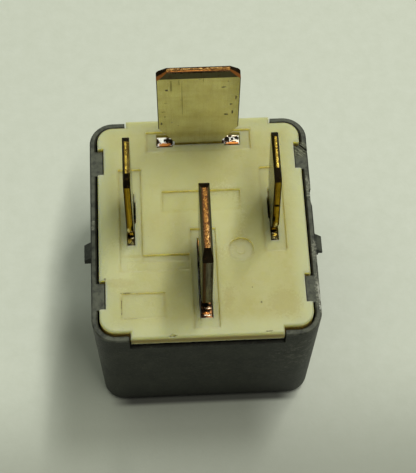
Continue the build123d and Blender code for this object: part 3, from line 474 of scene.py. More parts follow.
def base_plastic():
    """Cream nylon, slightly translucent, with grime and painted shade in the corners of its
    mouldings, and painted light on some walls and patches.
    """
    material, graph, shader = finish_material(
        "base plastic",
        Metallic=0.0,
        IOR=1.53,
        Specular_IOR_Level=0.35,
        Subsurface_Weight=1.0,
        Subsurface_Radius=(1.0, 0.85, 0.35),
        Subsurface_Scale=4.5 * MM,
    )
    place = graph.place()
    x, y, z = graph.split(place)
    facing = graph.split(graph.facing())
    grain = graph.effect(GRAIN, Position=place, Fine=3.0, Coarse=0.16)
    colour = graph.mix(grain["Tone"], (0.445, 0.420, 0.155), (0.475, 0.470, 0.205))
    cloud = graph.step(graph.noise(place, 0.45, 3.0, 0.5), 0.35, 0.75)
    colour = graph.over(colour, (0.415, 0.37, 0.12), cloud, 0.4)
    mottle = graph.step(graph.noise(place, 0.9, 5.0, 0.65), 0.4, 0.62)
    colour = graph.over(colour, (0.515, 0.505, 0.25), mottle, 0.3)
    # Towards its edges the moulding is paler and less yellow
    border = graph.effect(
        OUTLINE,
        Position=place,
        Centre=(0.0, 0.0, base_top),
        Half_Size=(*BASE_HALF, 0.0),
        Corner=2.0,
        Line=2.6,
    )["Line"]
    left = graph.step(x, 2.0, -10.0)
    pale = graph.most(graph.scaled(border, 0.8), graph.scaled(left, 0.35))
    colour = graph.mix(pale, colour, (0.520, 0.530, 0.285))
    back = graph.step(y, 11.8, 13.9)
    colour = graph.over(colour, (0.365, 0.37, 0.195), back, 0.75)
    # Painted light and shade on the pockets: their low walls are painted a pale yellow glow for the
    # light that shines through them, the walls facing back are darker, and dirt with painted shade
    # lies along some edges
    lines = []
    for centre, half, corner in POCKETS:
        line = graph.effect(
            OUTLINE,
            Position=place,
            Centre=(*centre, base_top),
            Half_Size=(*half, 0.0),
            Corner=corner,
            Line=0.32,
        )["Line"]
        lines.append(line)
    lines = graph.most(*lines)
    upper = graph.step(z, base_top - 1.0, base_top - 0.6)
    side = graph.step(graph.math("ABSOLUTE", facing["Z"]), 0.6, 0.3)
    inner = graph.math("LESS_THAN", graph.math("ABSOLUTE", y), 13.3)
    walls = graph.product(side, inner, graph.step(z, base_top - 0.45, base_top - 0.35))
    colour = graph.over(colour, (0.74, 0.68, 0.29), walls, 0.85)
    ledge = graph.product(graph.step(facing["Y"], 0.12, 0.4), inner, upper)
    colour = graph.over(colour, (0.30, 0.26, 0.09), ledge, 0.8)
    # Along the pockets' upper edges: dirt and painted shade together
    patchy = graph.step(graph.noise(place, 0.9, 4.0, 0.6), 0.3, 0.62)
    grime_and_shade = graph.product(lines, upper, graph.scaled(patchy, 0.42))
    colour = graph.mix(grime_and_shade, colour, (0.40, 0.35, 0.09))
    # Painted light: paler patches beside the blades, where light reflected from their tinned faces
    # falls on the base
    reflected_light_patches = marks(
        graph,
        place,
        [
            ((2.6, 0.5, base_top), (2.6, 5.5, 1.0), 0.35),
            ((-9.9, -5.0, base_top), (2.2, 3.6, 1.0), 0.35),
        ],
    )
    colour = graph.over(colour, (0.66, 0.66, 0.37), reflected_light_patches, 0.3)
    # Painted light: the round dimple is painted paler, to lift the shade in its hollow
    dimple_light = marks(graph, place, [((4.35, -3.55, base_top), (1.7, 1.7, 1.0), 0.05)])
    colour = graph.over(colour, (0.68, 0.66, 0.37), dimple_light, 0.55)
    # Dirt: along two sides of the plain panel, on the front tongue's edge, and some specks
    dirt = marks(
        graph,
        place,
        [
            ((-9.66, -10.2, base_top), (0.09, 1.7, 0.3), 0.35),
            ((-8.6, -11.77, base_top), (1.1, 0.08, 0.3), 0.35),
            ((-8.9, -8.6, base_top), (0.9, 0.07, 0.3), 0.5),
            ((6.28, -10.36, base_top), (0.13, 0.17, 0.3), 0.1),
            ((-3.9, -14.0, base_top - 0.1), (0.65, 0.10, 0.3), 0.4),
            ((7.0, -13.95, base_top - 0.1), (0.5, 0.12, 0.3), 0.5),
            ((8.5, 5.65, base_top), (0.1, 0.9, 0.3), 0.6),
            ((-11.5, -6.75, base_top), (0.14, 0.14, 0.3), 0.4),
            ((-11.6, -7.3, base_top), (0.1, 0.1, 0.3), 0.4),
            ((5.37, -8.45, base_top), (0.09, 0.09, 0.3), 0.2),
            ((-8.1, 6.6, base_top), (0.1, 0.25, 0.3), 0.7),
            ((-8.06, 5.5, base_top), (0.09, 0.12, 0.3), 0.7),
            ((-8.0, 4.7, base_top), (0.08, 0.3, 0.3), 0.8),
            ((8.64, 6.5, base_top), (0.08, 0.9, 0.3), 0.6),
            ((8.04, 5.0, base_top), (0.07, 0.5, 0.3), 0.5),
        ],
    )
    colour = graph.over(colour, (0.12, 0.105, 0.045), dirt, 0.75)
    stain = marks(
        graph,
        place,
        [
            ((-9.9, -7.3, base_top), (2.0, 0.7, 0.5), 0.45),
            ((2.6, -9.5, base_top), (0.8, 1.6, 0.5), 0.6),
            ((9.0, -10.5, base_top), (2.2, 2.0, 0.5), 0.5),
        ],
    )
    colour = graph.over(colour, (0.36, 0.30, 0.09), stain, 0.3)
    specks = graph.product(
        graph.step(graph.cells(place, 0.8), 0.05, 0.025),
        graph.step(graph.noise(place, 0.3), 0.5, 0.6),
    )
    colour = graph.over(colour, (0.2, 0.17, 0.08), specks, 0.6)
    # Painted shade: the outer walls are darker and browner further down, into the gap round the base
    low = graph.step(z, base_top - 0.2, base_top - 0.9)
    outside = graph.most(
        graph.math("GREATER_THAN", graph.math("ABSOLUTE", x), 11.3),
        graph.math("GREATER_THAN", graph.math("ABSOLUTE", y), 13.0),
    )
    colour = graph.over(colour, (0.27, 0.195, 0.04), graph.product(low, outside), 0.9)
    # Painted shadow: the slot on the left of the common blade is painted black
    slot_shadow = graph.product(
        graph.between(x, *COMMON_SLOT_SHADOW[0], 0.03),
        graph.between(y, *COMMON_SLOT_SHADOW[1], 0.3),
        0.97,
    )
    colour = graph.mix(slot_shadow, colour, (0.004, 0.003, 0.002))
    graph.feed(shader["Base Color"], colour)
    rough = graph.plus(0.34, grain["Relief"], 0.2)
    rough = graph.plus(rough, grime_and_shade, 0.15)
    rough = graph.plus(rough, slot_shadow, 0.6)
    graph.feed(shader["Roughness"], rough)
    ripple = graph.noise(place, 0.55, 3.0, 0.5)
    height = graph.plus(graph.scaled(grain["Relief"], 0.5), ripple, 2.2)
    height = graph.plus(height, dirt, -0.5)
    graph.feed(shader["Normal"], graph.bump(height, 0.05, 0.8))
    return material


def bobbin_plastic():
    """Black nylon of the coil's former."""
    material, graph, shader = finish_material("bobbin plastic", Metallic=0.0, IOR=1.53)
    place = graph.place()
    grain = graph.effect(GRAIN, Position=place, Fine=5.0, Coarse=0.5)
    colour = graph.mix(grain["Tone"], (0.018, 0.018, 0.019), (0.035, 0.034, 0.034))
    colour = graph.over(colour, (0.08, 0.078, 0.075), grain["Speckle"], 0.3)
    graph.feed(shader["Base Color"], colour)
    graph.feed(shader["Roughness"], graph.plus(0.35, grain["Relief"], 0.25))
    graph.feed(shader["Normal"], graph.bump(grain["Relief"], 0.03, 0.8))
    return material


# Metals


def blade_metal(blade):
    """A tinned blade: its flat faces are dull tin, and its sheared edges show the bare metal."""
    bare = blade["bare"]
    material, graph, shader = finish_material(
        blade["node"].replace("_", " "), Specular_Tint=(0.45, 0.45, 0.45, 1.0)
    )
    place = graph.place()
    x, y, z = graph.split(place)
    facing = graph.vector("ABSOLUTE", graph.facing())
    across, side_axis = {"x": (y, "y"), "y": (x, "x")}[blade["flat_axis"]]
    through = {"x": x, "y": y}[blade["flat_axis"]]
    to_flat = graph.vector("DOT_PRODUCT", facing, AXES[blade["flat_axis"]])
    flat = graph.step(to_flat, 0.978, 0.992)
    side = graph.step(graph.vector("DOT_PRODUCT", facing, AXES[side_axis]), 0.9, 0.97)
    top = graph.step(graph.vector("DOT_PRODUCT", facing, AXES["z"]), 0.93, 0.98)
    tear = graph.join(graph.scaled(x, 2.2), graph.scaled(y, 2.2), graph.scaled(z, 0.7))
    torn = graph.noise(tear, 1.6, 5.0, 0.7)
    # How far a point lies from the blade's middle plane, which leans in on a bent blade
    leaning = graph.scaled(graph.math("SUBTRACT", z, base_top), blade["lean"])
    off_middle = graph.math("SUBTRACT", graph.math("SUBTRACT", through, blade["middle"]), leaning)
    wavy = graph.plus(off_middle, graph.math("SUBTRACT", torn, 0.5), 0.25)
    half = blade["thickness"] / 2
    half_tip = blade["tip_thickness"] / 2
    # Drawn streaks up the blade, faint rolled bands across it, and a slow change of tone
    drawn = graph.join(graph.scaled(across, 3.0), graph.scaled(through, 3.0), graph.scaled(z, 0.12))
    streaks = graph.noise(drawn, 2.2, 4.0, 0.6)
    rolled = graph.join(graph.scaled(across, 0.12), through, graph.scaled(z, 1.6))
    bands = graph.noise(rolled, 1.2, 3.0, 0.6)
    grain = graph.effect(GRAIN, Position=place, Fine=6.5, Coarse=0.45)
    tin = graph.mix(grain["Tone"], *blade["tin"])
    tin = graph.over(tin, (0.50, 0.46, 0.27), graph.step(streaks, 0.42, 0.72), 0.28)
    tin = graph.over(tin, (0.52, 0.47, 0.26), graph.step(bands, 0.5, 0.68), 0.22)
    stain = graph.step(graph.noise(place, 0.8, 4.0, 0.65), 0.55, 0.8)
    tin = graph.over(tin, (0.50, 0.43, 0.20), stain, 0.35)
    # The coined slopes round the tip are dark, with a little of the bare metal rubbed through
    rubbed = graph.step(graph.noise(place, 2.4, 4.0, 0.65), 0.52, 0.66)
    ends = graph.mix(grain["Tone"], (0.012, 0.009, 0.005), (0.05, 0.036, 0.020))
    cut = graph.product(graph.step(wavy, 0.02, -0.1), blade["cut_corners"])
    ends = graph.mix(cut, ends, bare["warm"])
    slope = graph.mix(graph.step(to_flat, 0.2, 0.4), ends, bare["slope"])
    slope = graph.over(slope, bare["dull"], rubbed, 0.35)
    # The sheared sides: the bare metal along one edge, a paler band, and dark corners
    shear = graph.over(bare["side"], bare["dark"], graph.step(torn, 0.45, 0.62), 0.55)
    off_band = graph.math("ABSOLUTE", graph.math("SUBTRACT", wavy, half * 0.15))
    band = graph.step(off_band, half * 0.5, half * 0.1)
    shear = graph.over(shear, bare["band"], band, 0.6)
    shear = graph.over(shear, bare["dark"], graph.step(streaks, 0.5, 0.62), 0.45)
    one_edge = graph.step(wavy, -half * 0.15, -half * 0.5)
    shear = graph.over(shear, bare["edge"], one_edge, 0.8)
    both_edges = graph.step(graph.math("ABSOLUTE", wavy), half * 0.62, half * 0.88)
    shear = graph.over(shear, bare["dark"], both_edges, 0.9)
    # The tip, where the bare metal is rubbed bright between dark edges, with painted light and shade
    # across it: darker on one side, and a painted highlight on the other, towards one end
    run = graph.join(graph.scaled(through, 2.6), graph.scaled(across, 1.3), z)
    wave = graph.noise(run, 1.7, 5.0, 0.75)
    tip = graph.mix(graph.step(wave, 0.38, 0.58), bare["bright"], bare["dull"])
    tip = graph.over(tip, bare["dark"], graph.step(wave, 0.53, 0.64), 0.7)
    blade_end = graph.step(across, blade["shine_from"], blade["shine_from"] - 5.0)
    tip = graph.over(tip, bare["edge"], graph.step(wavy, 0.04, -half_tip * 0.7), 0.55)
    rims = graph.step(graph.math("ABSOLUTE", off_middle), half_tip * 0.45, half_tip * 0.75)
    tip = graph.over(tip, bare["dark"], rims, 0.85)
    shine = graph.product(
        graph.step(wavy, 0.0, half_tip * 0.5), graph.step(wave, 0.56, 0.44), blade_end
    )
    shine = graph.math("SUBTRACT", shine, graph.product(shine, rims, 0.8))
    tip = graph.mix(graph.scaled(shine, blade["shine"]), tip, bare["gleam"])
    shoulder = graph.product(top, graph.step(z, base_top, base_top - 0.3))
    stained = graph.step(graph.noise(place, 1.3, 3.0, 0.6), 0.44, 0.56)
    foot = graph.mix(stained, blade["foot"], bare["dark"])
    tip = graph.mix(shoulder, tip, foot)
    colour = graph.mix(flat, slope, tin)
    colour = graph.mix(side, colour, shear)
    colour = graph.mix(top, colour, tip)
    pits = marks(graph, place, blade["pits"])
    colour = graph.over(colour, (0.09, 0.075, 0.03), pits, 0.85)
    scratches = marks(graph, place, blade["scratches"])
    colour = graph.over(colour, (0.15, 0.13, 0.055), scratches, 0.6)
    specks = graph.product(
        graph.step(graph.cells(place, 0.9), 0.09, 0.03),
        graph.step(graph.noise(place, 0.4), 0.48, 0.56),
    )
    colour = graph.over(colour, (0.12, 0.10, 0.05), specks, 0.7)
    # Marks that are each in their own place: black ones, bare metal, and bright glints, which are
    # painted highlights
    # Some black marks, in the fixed blade's shoulder windows, are painted shadow
    colour = graph.mix(marks(graph, place, blade["dark_marks"]), colour, (0.010, 0.008, 0.005))
    # The bare-metal marks include a bright streak on the fixed blade's tip, a painted highlight
    colour = graph.mix(marks(graph, place, blade["warm_marks"]), colour, bare["warm"])
    colour = graph.mix(marks(graph, place, blade["glints"]), colour, bare["glint"])
    graph.feed(shader["Base Color"], colour)
    dirt = graph.scaled(graph.most(pits, specks), 0.7)
    graph.feed(shader["Metallic"], graph.opposite(dirt))
    rough = graph.plus(0.17 - blade["smooth"], streaks, 0.14)
    sloping = graph.opposite(graph.most(flat, side, top))
    rough = graph.plus(rough, graph.opposite(flat), 0.12)
    rough = graph.plus(rough, sloping, 0.25)
    graph.feed(shader["Roughness"], rough)
    height = graph.plus(graph.scaled(streaks, 0.3), grain["Relief"], 0.5)
    height = graph.plus(height, graph.product(graph.most(side, top), torn), 1.4)
    height = graph.plus(height, pits, -0.8)
    graph.feed(shader["Normal"], graph.bump(height, 0.03, 0.8))
    return material


# The bare metals under the tin, with the colours of the highlights painted on them (gleam, glint)
COPPER = {
    "gleam": (0.95, 0.66, 0.30),
    "bright": (0.36, 0.178, 0.038),
    "dull": (0.13, 0.052, 0.015),
    "dark": (0.035, 0.018, 0.010),
    "side": (0.19, 0.175, 0.115),
    "band": (0.30, 0.275, 0.19),
    "slope": (0.15, 0.138, 0.078),
    "edge": (0.11, 0.045, 0.016),
    "warm": (0.60, 0.22, 0.05),
    "glint": (1.0, 0.88, 0.66),
}
BRASS = {
    "gleam": (1.0, 0.84, 0.36),
    "bright": (0.60, 0.44, 0.07),
    "dull": (0.22, 0.14, 0.022),
    "dark": (0.030, 0.019, 0.006),
    "side": (0.40, 0.26, 0.028),
    "band": (0.54, 0.38, 0.055),
    "slope": (0.022, 0.016, 0.007),
    "edge": (0.17, 0.10, 0.015),
    "warm": (0.45, 0.32, 0.05),
    "glint": (1.0, 0.92, 0.62),
}


def plain_metal(name, light, dark, rough, axis_scale, bumps=0.02):
    """A plated, rolled or drawn metal: streaks along the grain, stains and a little tarnish."""
    material, graph, shader = finish_material(name, Metallic=1.0)
    place = graph.place()
    along = graph.vector("MULTIPLY", place, axis_scale)
    streaks = graph.noise(along, 2.0, 4.0, 0.6)
    grain = graph.effect(GRAIN, Position=place, Fine=5.0, Coarse=0.5)
    colour = graph.mix(graph.step(streaks, 0.35, 0.7), light, dark)
    tarnish = graph.step(graph.noise(place, 0.9, 4.0, 0.65), 0.55, 0.75)
    colour = graph.over(colour, tuple(value * 0.5 for value in dark), tarnish, 0.35)
    graph.feed(shader["Base Color"], colour)
    graph.feed(shader["Roughness"], graph.plus(rough, grain["Relief"], 0.2))
    height = graph.plus(streaks, grain["Relief"], 0.5)
    graph.feed(shader["Normal"], graph.bump(height, bumps, 0.8))
    return material


# What the blades of one size share, in millimetres
WIDE_BLADE = {"bare": COPPER, "thickness": 1.2, "tip_thickness": 0.7}
NARROW_BLADE = {
    "bare": BRASS,
    "flat_axis": "x",
    "thickness": 0.8,
    "tip_thickness": 0.35,
    "tin": ((0.86, 0.83, 0.62), (0.95, 0.92, 0.72)),
    "smooth": 0.1,
    "shine_from": 3.0,
    "foot": (0.12, 0.105, 0.04),
    "cut_corners": 0.0,
    "pits": [],
    "scratches": [],
}
fixed_front = corners("terminal_load_fixed")[1].y - WIDE_BLADE["thickness"]
common_front = corners("terminal_load_common")[0].y

# The blades, each with the marks of its own wear, and with its own painted highlights and shadows
BLADES = [
    {
        **WIDE_BLADE,
        "node": "terminal_load_fixed",
        "flat_axis": "y",
        "middle": fixed_front + WIDE_BLADE["thickness"] / 2,
        "lean": 0.0,
        "tin": ((0.69, 0.65, 0.42), (0.81, 0.775, 0.54)),
        "smooth": 0.0,
        "shine": 0.35,
        "shine_from": 6.0,
        "foot": (0.80, 0.80, 0.76),
        "cut_corners": 0.6,
        "pits": [
            ((-3.61, fixed_front, 33.35), (0.2, 0.3, 0.22), 0.3),
            ((2.88, fixed_front, 33.65), (0.28, 0.3, 0.13), 0.4),
            ((3.23, fixed_front, 27.75), (0.30, 0.3, 0.2), 0.3),
            ((3.95, fixed_front, 28.2), (0.13, 0.3, 0.45), 0.3),
            ((-4.34, fixed_front, 26.04), (0.13, 0.3, 0.3), 0.4),
            ((3.76, fixed_front, 29.96), (0.2, 0.3, 0.14), 0.6),
            ((4.3, fixed_front, 31.4), (0.1, 0.3, 0.5), 0.6),
        ],
        "scratches": [
            ((-1.87, fixed_front, 31.2), (0.065, 0.3, 4.4), 0.15),
            ((-3.09, fixed_front, 34.1), (0.14, 0.3, 1.5), 0.2),
            ((-2.2, fixed_front, 34.9), (0.06, 0.3, 0.8), 0.2),
            ((0.55, fixed_front, 35.2), (0.05, 0.3, 0.5), 0.2),
            ((-4.1, fixed_front, 28.7), (0.3, 0.3, 0.12), 0.6),
            ((-3.9, fixed_front, 27.6), (0.1, 0.3, 0.3), 0.6),
            ((-3.7, fixed_front, 30.6), (0.35, 0.3, 0.08), 0.6),
        ],
        "dark_marks": [
            ((-3.75, 11.75, shoulder_z), (0.5, 0.33, 0.4), 0.35),
            ((-5.0, 11.6, shoulder_z), (0.18, 0.7, 0.6), 0.3),
            ((-3.25, 11.5, shoulder_z), (0.3, 0.5, 0.4), 0.4),
            ((4.15, 11.55, shoulder_z), (0.3, 0.3, 0.4), 0.6),
            ((3.5, 11.7, shoulder_z), (0.4, 0.4, 0.4), 0.5),
            ((4.7, 11.8, shoulder_z), (0.4, 0.22, 0.4), 0.6),
            ((0.0, 11.95, tip_z), (4.6, 0.15, 0.25), 0.55),
            ((0.0, 11.2, tip_z), (3.9, 0.1, 0.12), 0.5),
            ((-1.2, 11.6, tip_z), (2.3, 0.05, 0.2), 0.6),
            ((2.0, 11.56, tip_z), (1.5, 0.04, 0.2), 0.6),
        ],
        "warm_marks": [
            ((-4.1, 11.15, shoulder_z - 0.05), (0.9, 0.32, 0.35), 0.35),
            ((4.2, 11.08, shoulder_z - 0.05), (0.9, 0.26, 0.35), 0.4),
            ((-0.9, 11.47, tip_z), (2.9, 0.035, 0.2), 0.7),
        ],
        "glints": [
            ((4.5, 11.46, shoulder_z), (0.5, 0.07, 0.3), 0.5),
            ((4.45, 12.1, shoulder_z), (0.35, 0.09, 0.3), 0.4),
            ((3.6, 12.1, shoulder_z), (0.12, 0.12, 0.3), 0.4),
        ],
    },
    {
        **WIDE_BLADE,
        "node": "terminal_load_common",
        "flat_axis": "x",
        "middle": 0.0,
        "lean": 0.0,
        "tin": ((0.80, 0.77, 0.55), (0.90, 0.87, 0.66)),
        "smooth": 0.08,
        "shine": 0.4,
        "shine_from": -5.0,
        "foot": (0.26, 0.12, 0.045),
        "cut_corners": 0.0,
        "pits": [],
        "scratches": [],
        "dark_marks": [
            ((0.0, -10.15, shoulder_z), (0.7, 0.26, 0.4), 0.25),
            ((-0.62, -10.9, shoulder_z), (0.14, 0.7, 0.4), 0.3),
            ((0.15, -10.8, shoulder_z), (0.5, 0.17, 0.3), 0.5),
            ((0.35, common_front, 25.2), (0.3, 0.3, 0.8), 0.4),
        ],
        "warm_marks": [
            ((-0.15, -11.13, shoulder_z - 0.05), (0.42, 0.17, 0.35), 0.5),
            ((-0.5, -2.0, shoulder_z - 0.05), (0.3, 0.5, 0.5), 0.3),
        ],
        "glints": [
            ((0.15, -10.53, shoulder_z), (0.45, 0.07, 0.3), 0.3),
            ((0.1, -11.38, shoulder_z - 0.05), (0.5, 0.07, 0.3), 0.35),
            ((-0.53, -1.75, shoulder_z - 0.05), (0.2, 0.14, 0.4), 0.3),
            ((0.2, -11.0, tip_z), (0.12, 0.35, 0.2), 0.4),
        ],
    },
    {
        **NARROW_BLADE,
        "node": "terminal_coil_left",
        "middle": -8.4,
        "lean": 0.007,
        "shine": 0.2,
        "dark_marks": [
            ((-8.5, -1.0, shoulder_z), (0.5, 0.2, 0.4), 0.4),
            ((-8.35, -1.4, shoulder_z), (0.14, 0.25, 0.4), 0.4),
            ((-8.6, -2.1, shoulder_z), (0.4, 0.12, 0.4), 0.4),
            ((-8.1, -2.15, 25.2), (0.2, 0.3, 0.9), 0.3),
        ],
        "warm_marks": [((-8.6, -1.6, shoulder_z), (0.3, 0.3, 0.3), 0.5)],
        "glints": [
            ((-8.58, -1.9, 23.9), (0.2, 1.0, 1.7), 0.2),
            ((-8.25, -1.25, shoulder_z), (0.25, 0.07, 0.3), 0.4),
        ],
    },
    {
        **NARROW_BLADE,
        "node": "terminal_coil_right",
        "middle": 8.4,
        "lean": -0.0262,
        "shine": 0.35,
        "dark_marks": [
            ((8.3, -1.0, shoulder_z), (0.5, 0.2, 0.4), 0.4),
            ((8.55, -1.65, shoulder_z), (0.15, 0.2, 0.4), 0.5),
            ((8.35, -2.1, shoulder_z), (0.4, 0.12, 0.4), 0.4),
            ((8.15, -2.15, 29.5), (0.45, 0.3, 0.35), 0.4),
            ((8.05, -2.15, 26.2), (0.2, 0.3, 1.2), 0.5),
        ],
        "warm_marks": [((8.4, -1.5, shoulder_z), (0.3, 0.25, 0.3), 0.5)],
        "glints": [
            ((8.36, -1.9, 23.8), (0.22, 1.0, 1.7), 0.2),
            ((8.2, -1.3, shoulder_z), (0.22, 0.07, 0.3), 0.4),
        ],
    },
]


def dress(node, material):
    """Gives a carried-over piece its finish."""
    slots = nodes[node].data.materials
    slots.clear()
    slots.append(material)


def dress_model():
    dress("cover", cover_plastic())
    dress("base", base_plastic())
    for blade in BLADES:
        dress(blade["node"], blade_metal(blade))
    dress("bobbin", bobbin_plastic())
    iron = plain_metal(
        "plated iron", (0.62, 0.6, 0.56), (0.4, 0.39, 0.37), 0.28, (3.0, 3.0, 0.2)
    )
    for node in ("core", "yoke", "armature", "stop_bracket"):
        dress(node, iron)
    steel = plain_metal(
        "rivet steel", (0.6, 0.6, 0.6), (0.35, 0.35, 0.36), 0.25, (1.0, 1.0, 1.0)
    )
    dress("armature_rivets", steel)
    dress("spring_rivets", steel)
    silver = plain_metal(
        "contact silver", (0.88, 0.87, 0.84), (0.5, 0.49, 0.46), 0.3, (1.0, 1.0, 1.0)
    )
    dress("moving_contact", silver)
    dress("fixed_contact", silver)
    enamel = plain_metal(
        "enamelled copper", (0.62, 0.25, 0.1), (0.4, 0.13, 0.05), 0.25, (0.3, 0.3, 8.0)
    )
    for node in ("winding", "coil_lead_start", "coil_lead_finish"):
        dress(node, enamel)
    wind_coil(enamel)
    bronze = plain_metal(
        "spring bronze", (0.78, 0.52, 0.3), (0.5, 0.3, 0.15), 0.26, (3.0, 0.2, 3.0)
    )
    dress("contact_spring", bronze)
    bending_copy("contact_spring", "spring_leaf", bronze)
    strands = braid_finish()
    dress("braid", strands)
    bending_copy("braid", "braid_strands", strands)


# Pieces inside the cover that the script makes: the coil's wire, the spring and the braid

WIRE = 0.25                 # its diameter, in millimetres
TURN_PITCH = 0.985          # of the wire's diameter, so that each turn touches the next
LAYER_STEP = 0.8            # of the wire's diameter, from one layer to the next
# Where the leaves bend, in metres, from the yoke's side of the hinge to the armature's
LEVELS = [6.0 + step * 0.3 for step in range(14)]     # of the cuts across the bend
SAME_POINT = 1e-6           # metres
ON_CUT = 1e-7
SHARP_ANGLE = 28            # degrees
STRAND_PITCH = 0.42         # millimetres


def wire_turns():
    """A tree that winds two layers of wire, which run up the coil and down again."""
    tree = bpy.data.node_groups.new("wire turns", "GeometryNodeTree")
    for name, kind in (
        ("Outer Radius", "NodeSocketFloat"),
        ("Height", "NodeSocketFloat"),
        ("Wire Diameter", "NodeSocketFloat"),
        ("Turns", "NodeSocketFloat"),
        ("Finish", "NodeSocketMaterial"),
    ):
        tree.interface.new_socket(name=name, in_out="INPUT", socket_type=kind)
    tree.interface.new_socket(name="Geometry", in_out="OUTPUT", socket_type="NodeSocketGeometry")
    graph = Graph(tree)
    sizes = graph.node("NodeGroupInput").outputs
    half_wire = graph.scaled(sizes["Wire Diameter"], 0.5)
    travel = graph.math("SUBTRACT", sizes["Height"], sizes["Wire Diameter"])
    outer = graph.math("SUBTRACT", sizes["Outer Radius"], half_wire)
    inner = graph.plus(outer, sizes["Wire Diameter"], -LAYER_STEP)
    both = graph.node("GeometryNodeJoinGeometry")
    for radius, other_way in ((outer, False), (inner, True)):
        turns = graph.node(
            "GeometryNodeCurveSpiral",
            {
                "Resolution": 40,
                "Rotations": sizes["Turns"],
                "Start Radius": radius,
                "End Radius": radius,
                "Height": travel,
                "Reverse": other_way,
            },
        )
        tree.links.new(turns.outputs["Curve"], both.inputs["Geometry"])
    section = graph.node("GeometryNodeCurvePrimitiveCircle", {"Resolution": 6, "Radius": half_wire})
    swept = graph.node(
        "GeometryNodeCurveToMesh",
        {
            "Curve": both.outputs[0],
            "Profile Curve": section.outputs["Curve"],
            "Fill Caps": True,
        },
    )
    smooth = graph.node("GeometryNodeSetShadeSmooth", {"Geometry": swept.outputs[0]})
    whole = graph.node("GeometryNodeRealizeInstances", {"Geometry": smooth.outputs[0]})
    finish = graph.node(
        "GeometryNodeSetMaterial", {"Geometry": whole.outputs[0], "Material": sizes["Finish"]}
    )
    graph.feed(graph.node("NodeGroupOutput").inputs["Geometry"], finish.outputs[0])
    return tree


def grown(tree, name, values):
    """Runs a tree with these values and returns what it makes as a plain mesh object."""
    empty = bpy.data.objects.new(name + "_seed", bpy.data.meshes.new(name + "_seed"))
    scene.collection.objects.link(empty)
    modifier = empty.modifiers.new("grow", "NODES")
    modifier.node_group = tree
    for item in tree.interface.items_tree:
        if item.in_out == "INPUT" and item.name in values:
            modifier[item.identifier] = values[item.name]
    graph = bpy.context.evaluated_depsgraph_get()
    mesh = bpy.data.meshes.new_from_object(empty.evaluated_get(graph))
    empty.modifiers.remove(modifier)
    bpy.data.objects.remove(empty)
    mesh.name = name
    made = bpy.data.objects.new(name, mesh)
    scene.collection.objects.link(made)
    return made


def wind_coil(enamel):
    """The coil's two outer layers of enamelled wire, in the winding's place on the bobbin."""
    low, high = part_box("winding")
    wire = WIRE * MM
    values = {
        "Outer Radius": (high.x - low.x) / 2,
        "Height": high.z - low.z,
        "Wire Diameter": wire,
        "Turns": (high.z - low.z - wire) / (wire * TURN_PITCH),
        "Finish": enamel,
    }
    coil = grown(wire_turns(), "coil_wire", values)
    middle = (low + high) / 2
    coil.data.transform(Matrix.Translation((middle.x, middle.y, low.z + wire / 2)))
    coil.data.update()
    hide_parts("winding")
    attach(coil, "frame")
    return coil


def bending_copy(node, name, material):
    """A copy of a leaf, cut into enough faces across the hinge, where the leaf bends, to bend
    smoothly there.
    """
    shape = bmesh.new()
    shape.from_mesh(nodes[node].data)
    bmesh.ops.remove_doubles(shape, verts=shape.verts, dist=SAME_POINT)
    for level in LEVELS:
        everything = shape.verts[:] + shape.edges[:] + shape.faces[:]
        bmesh.ops.bisect_plane(
            shape,
            geom=everything,
            plane_co=(0.0, 0.0, level * MM),
            plane_no=AXES["z"],
            dist=ON_CUT,
        )
    mesh = bpy.data.meshes.new(name)
    shape.to_mesh(mesh)
    shape.free()
    mesh.shade_smooth()
    mesh.set_sharp_from_angle(angle=math.radians(SHARP_ANGLE))
    mesh.materials.append(material)
    piece = bpy.data.objects.new(name, mesh)
    scene.collection.objects.link(piece)
    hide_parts(node)
    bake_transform(piece)
    return piece


def braid_finish():
    """Flat copper braid: fine strands that cross, tarnished in the gaps."""
    material, graph, shader = finish_material("braid copper", Metallic=1.0)
    place = graph.place()
    x, y, z = graph.split(place)
    run = graph.math("SUBTRACT", y, z)
    heights = []
    for across in (graph.math("ADD", x, run), graph.math("SUBTRACT", x, run)):
        wave = graph.math("SINE", graph.scaled(across, 2 * math.pi / STRAND_PITCH))
        heights.append(graph.plus(0.5, wave, 0.5))
    weave = graph.most(*heights)
    stain = graph.step(graph.noise(place, 0.9, 4.0, 0.65), 0.45, 0.7)
    colour = graph.mix(graph.step(weave, 0.55, 0.95), (0.16, 0.065, 0.03), (0.72, 0.37, 0.2))
    colour = graph.over(colour, (0.30, 0.15, 0.075), stain, 0.45)
    graph.feed(shader["Base Color"], colour)
    graph.feed(shader["Roughness"], graph.plus(0.3, stain, 0.2))
    graph.feed(shader["Normal"], graph.bump(weave, 0.08, 0.9))
    return material


# Floor, lights and camera


FLOOR_HALF = 1.2            # metres
FLOOR_GAP = 0.02            # millimetres, under the relay
LAMP_WIDTH = 0.030          # metres
LAMP_HEIGHT = 0.5
LIT_POINT = (0.0, 0.0, 0.02)
WARM_WHITE = (1.0, 0.985, 0.93)
CEILING_WAY = (-0.22, 0.50, 0.84)


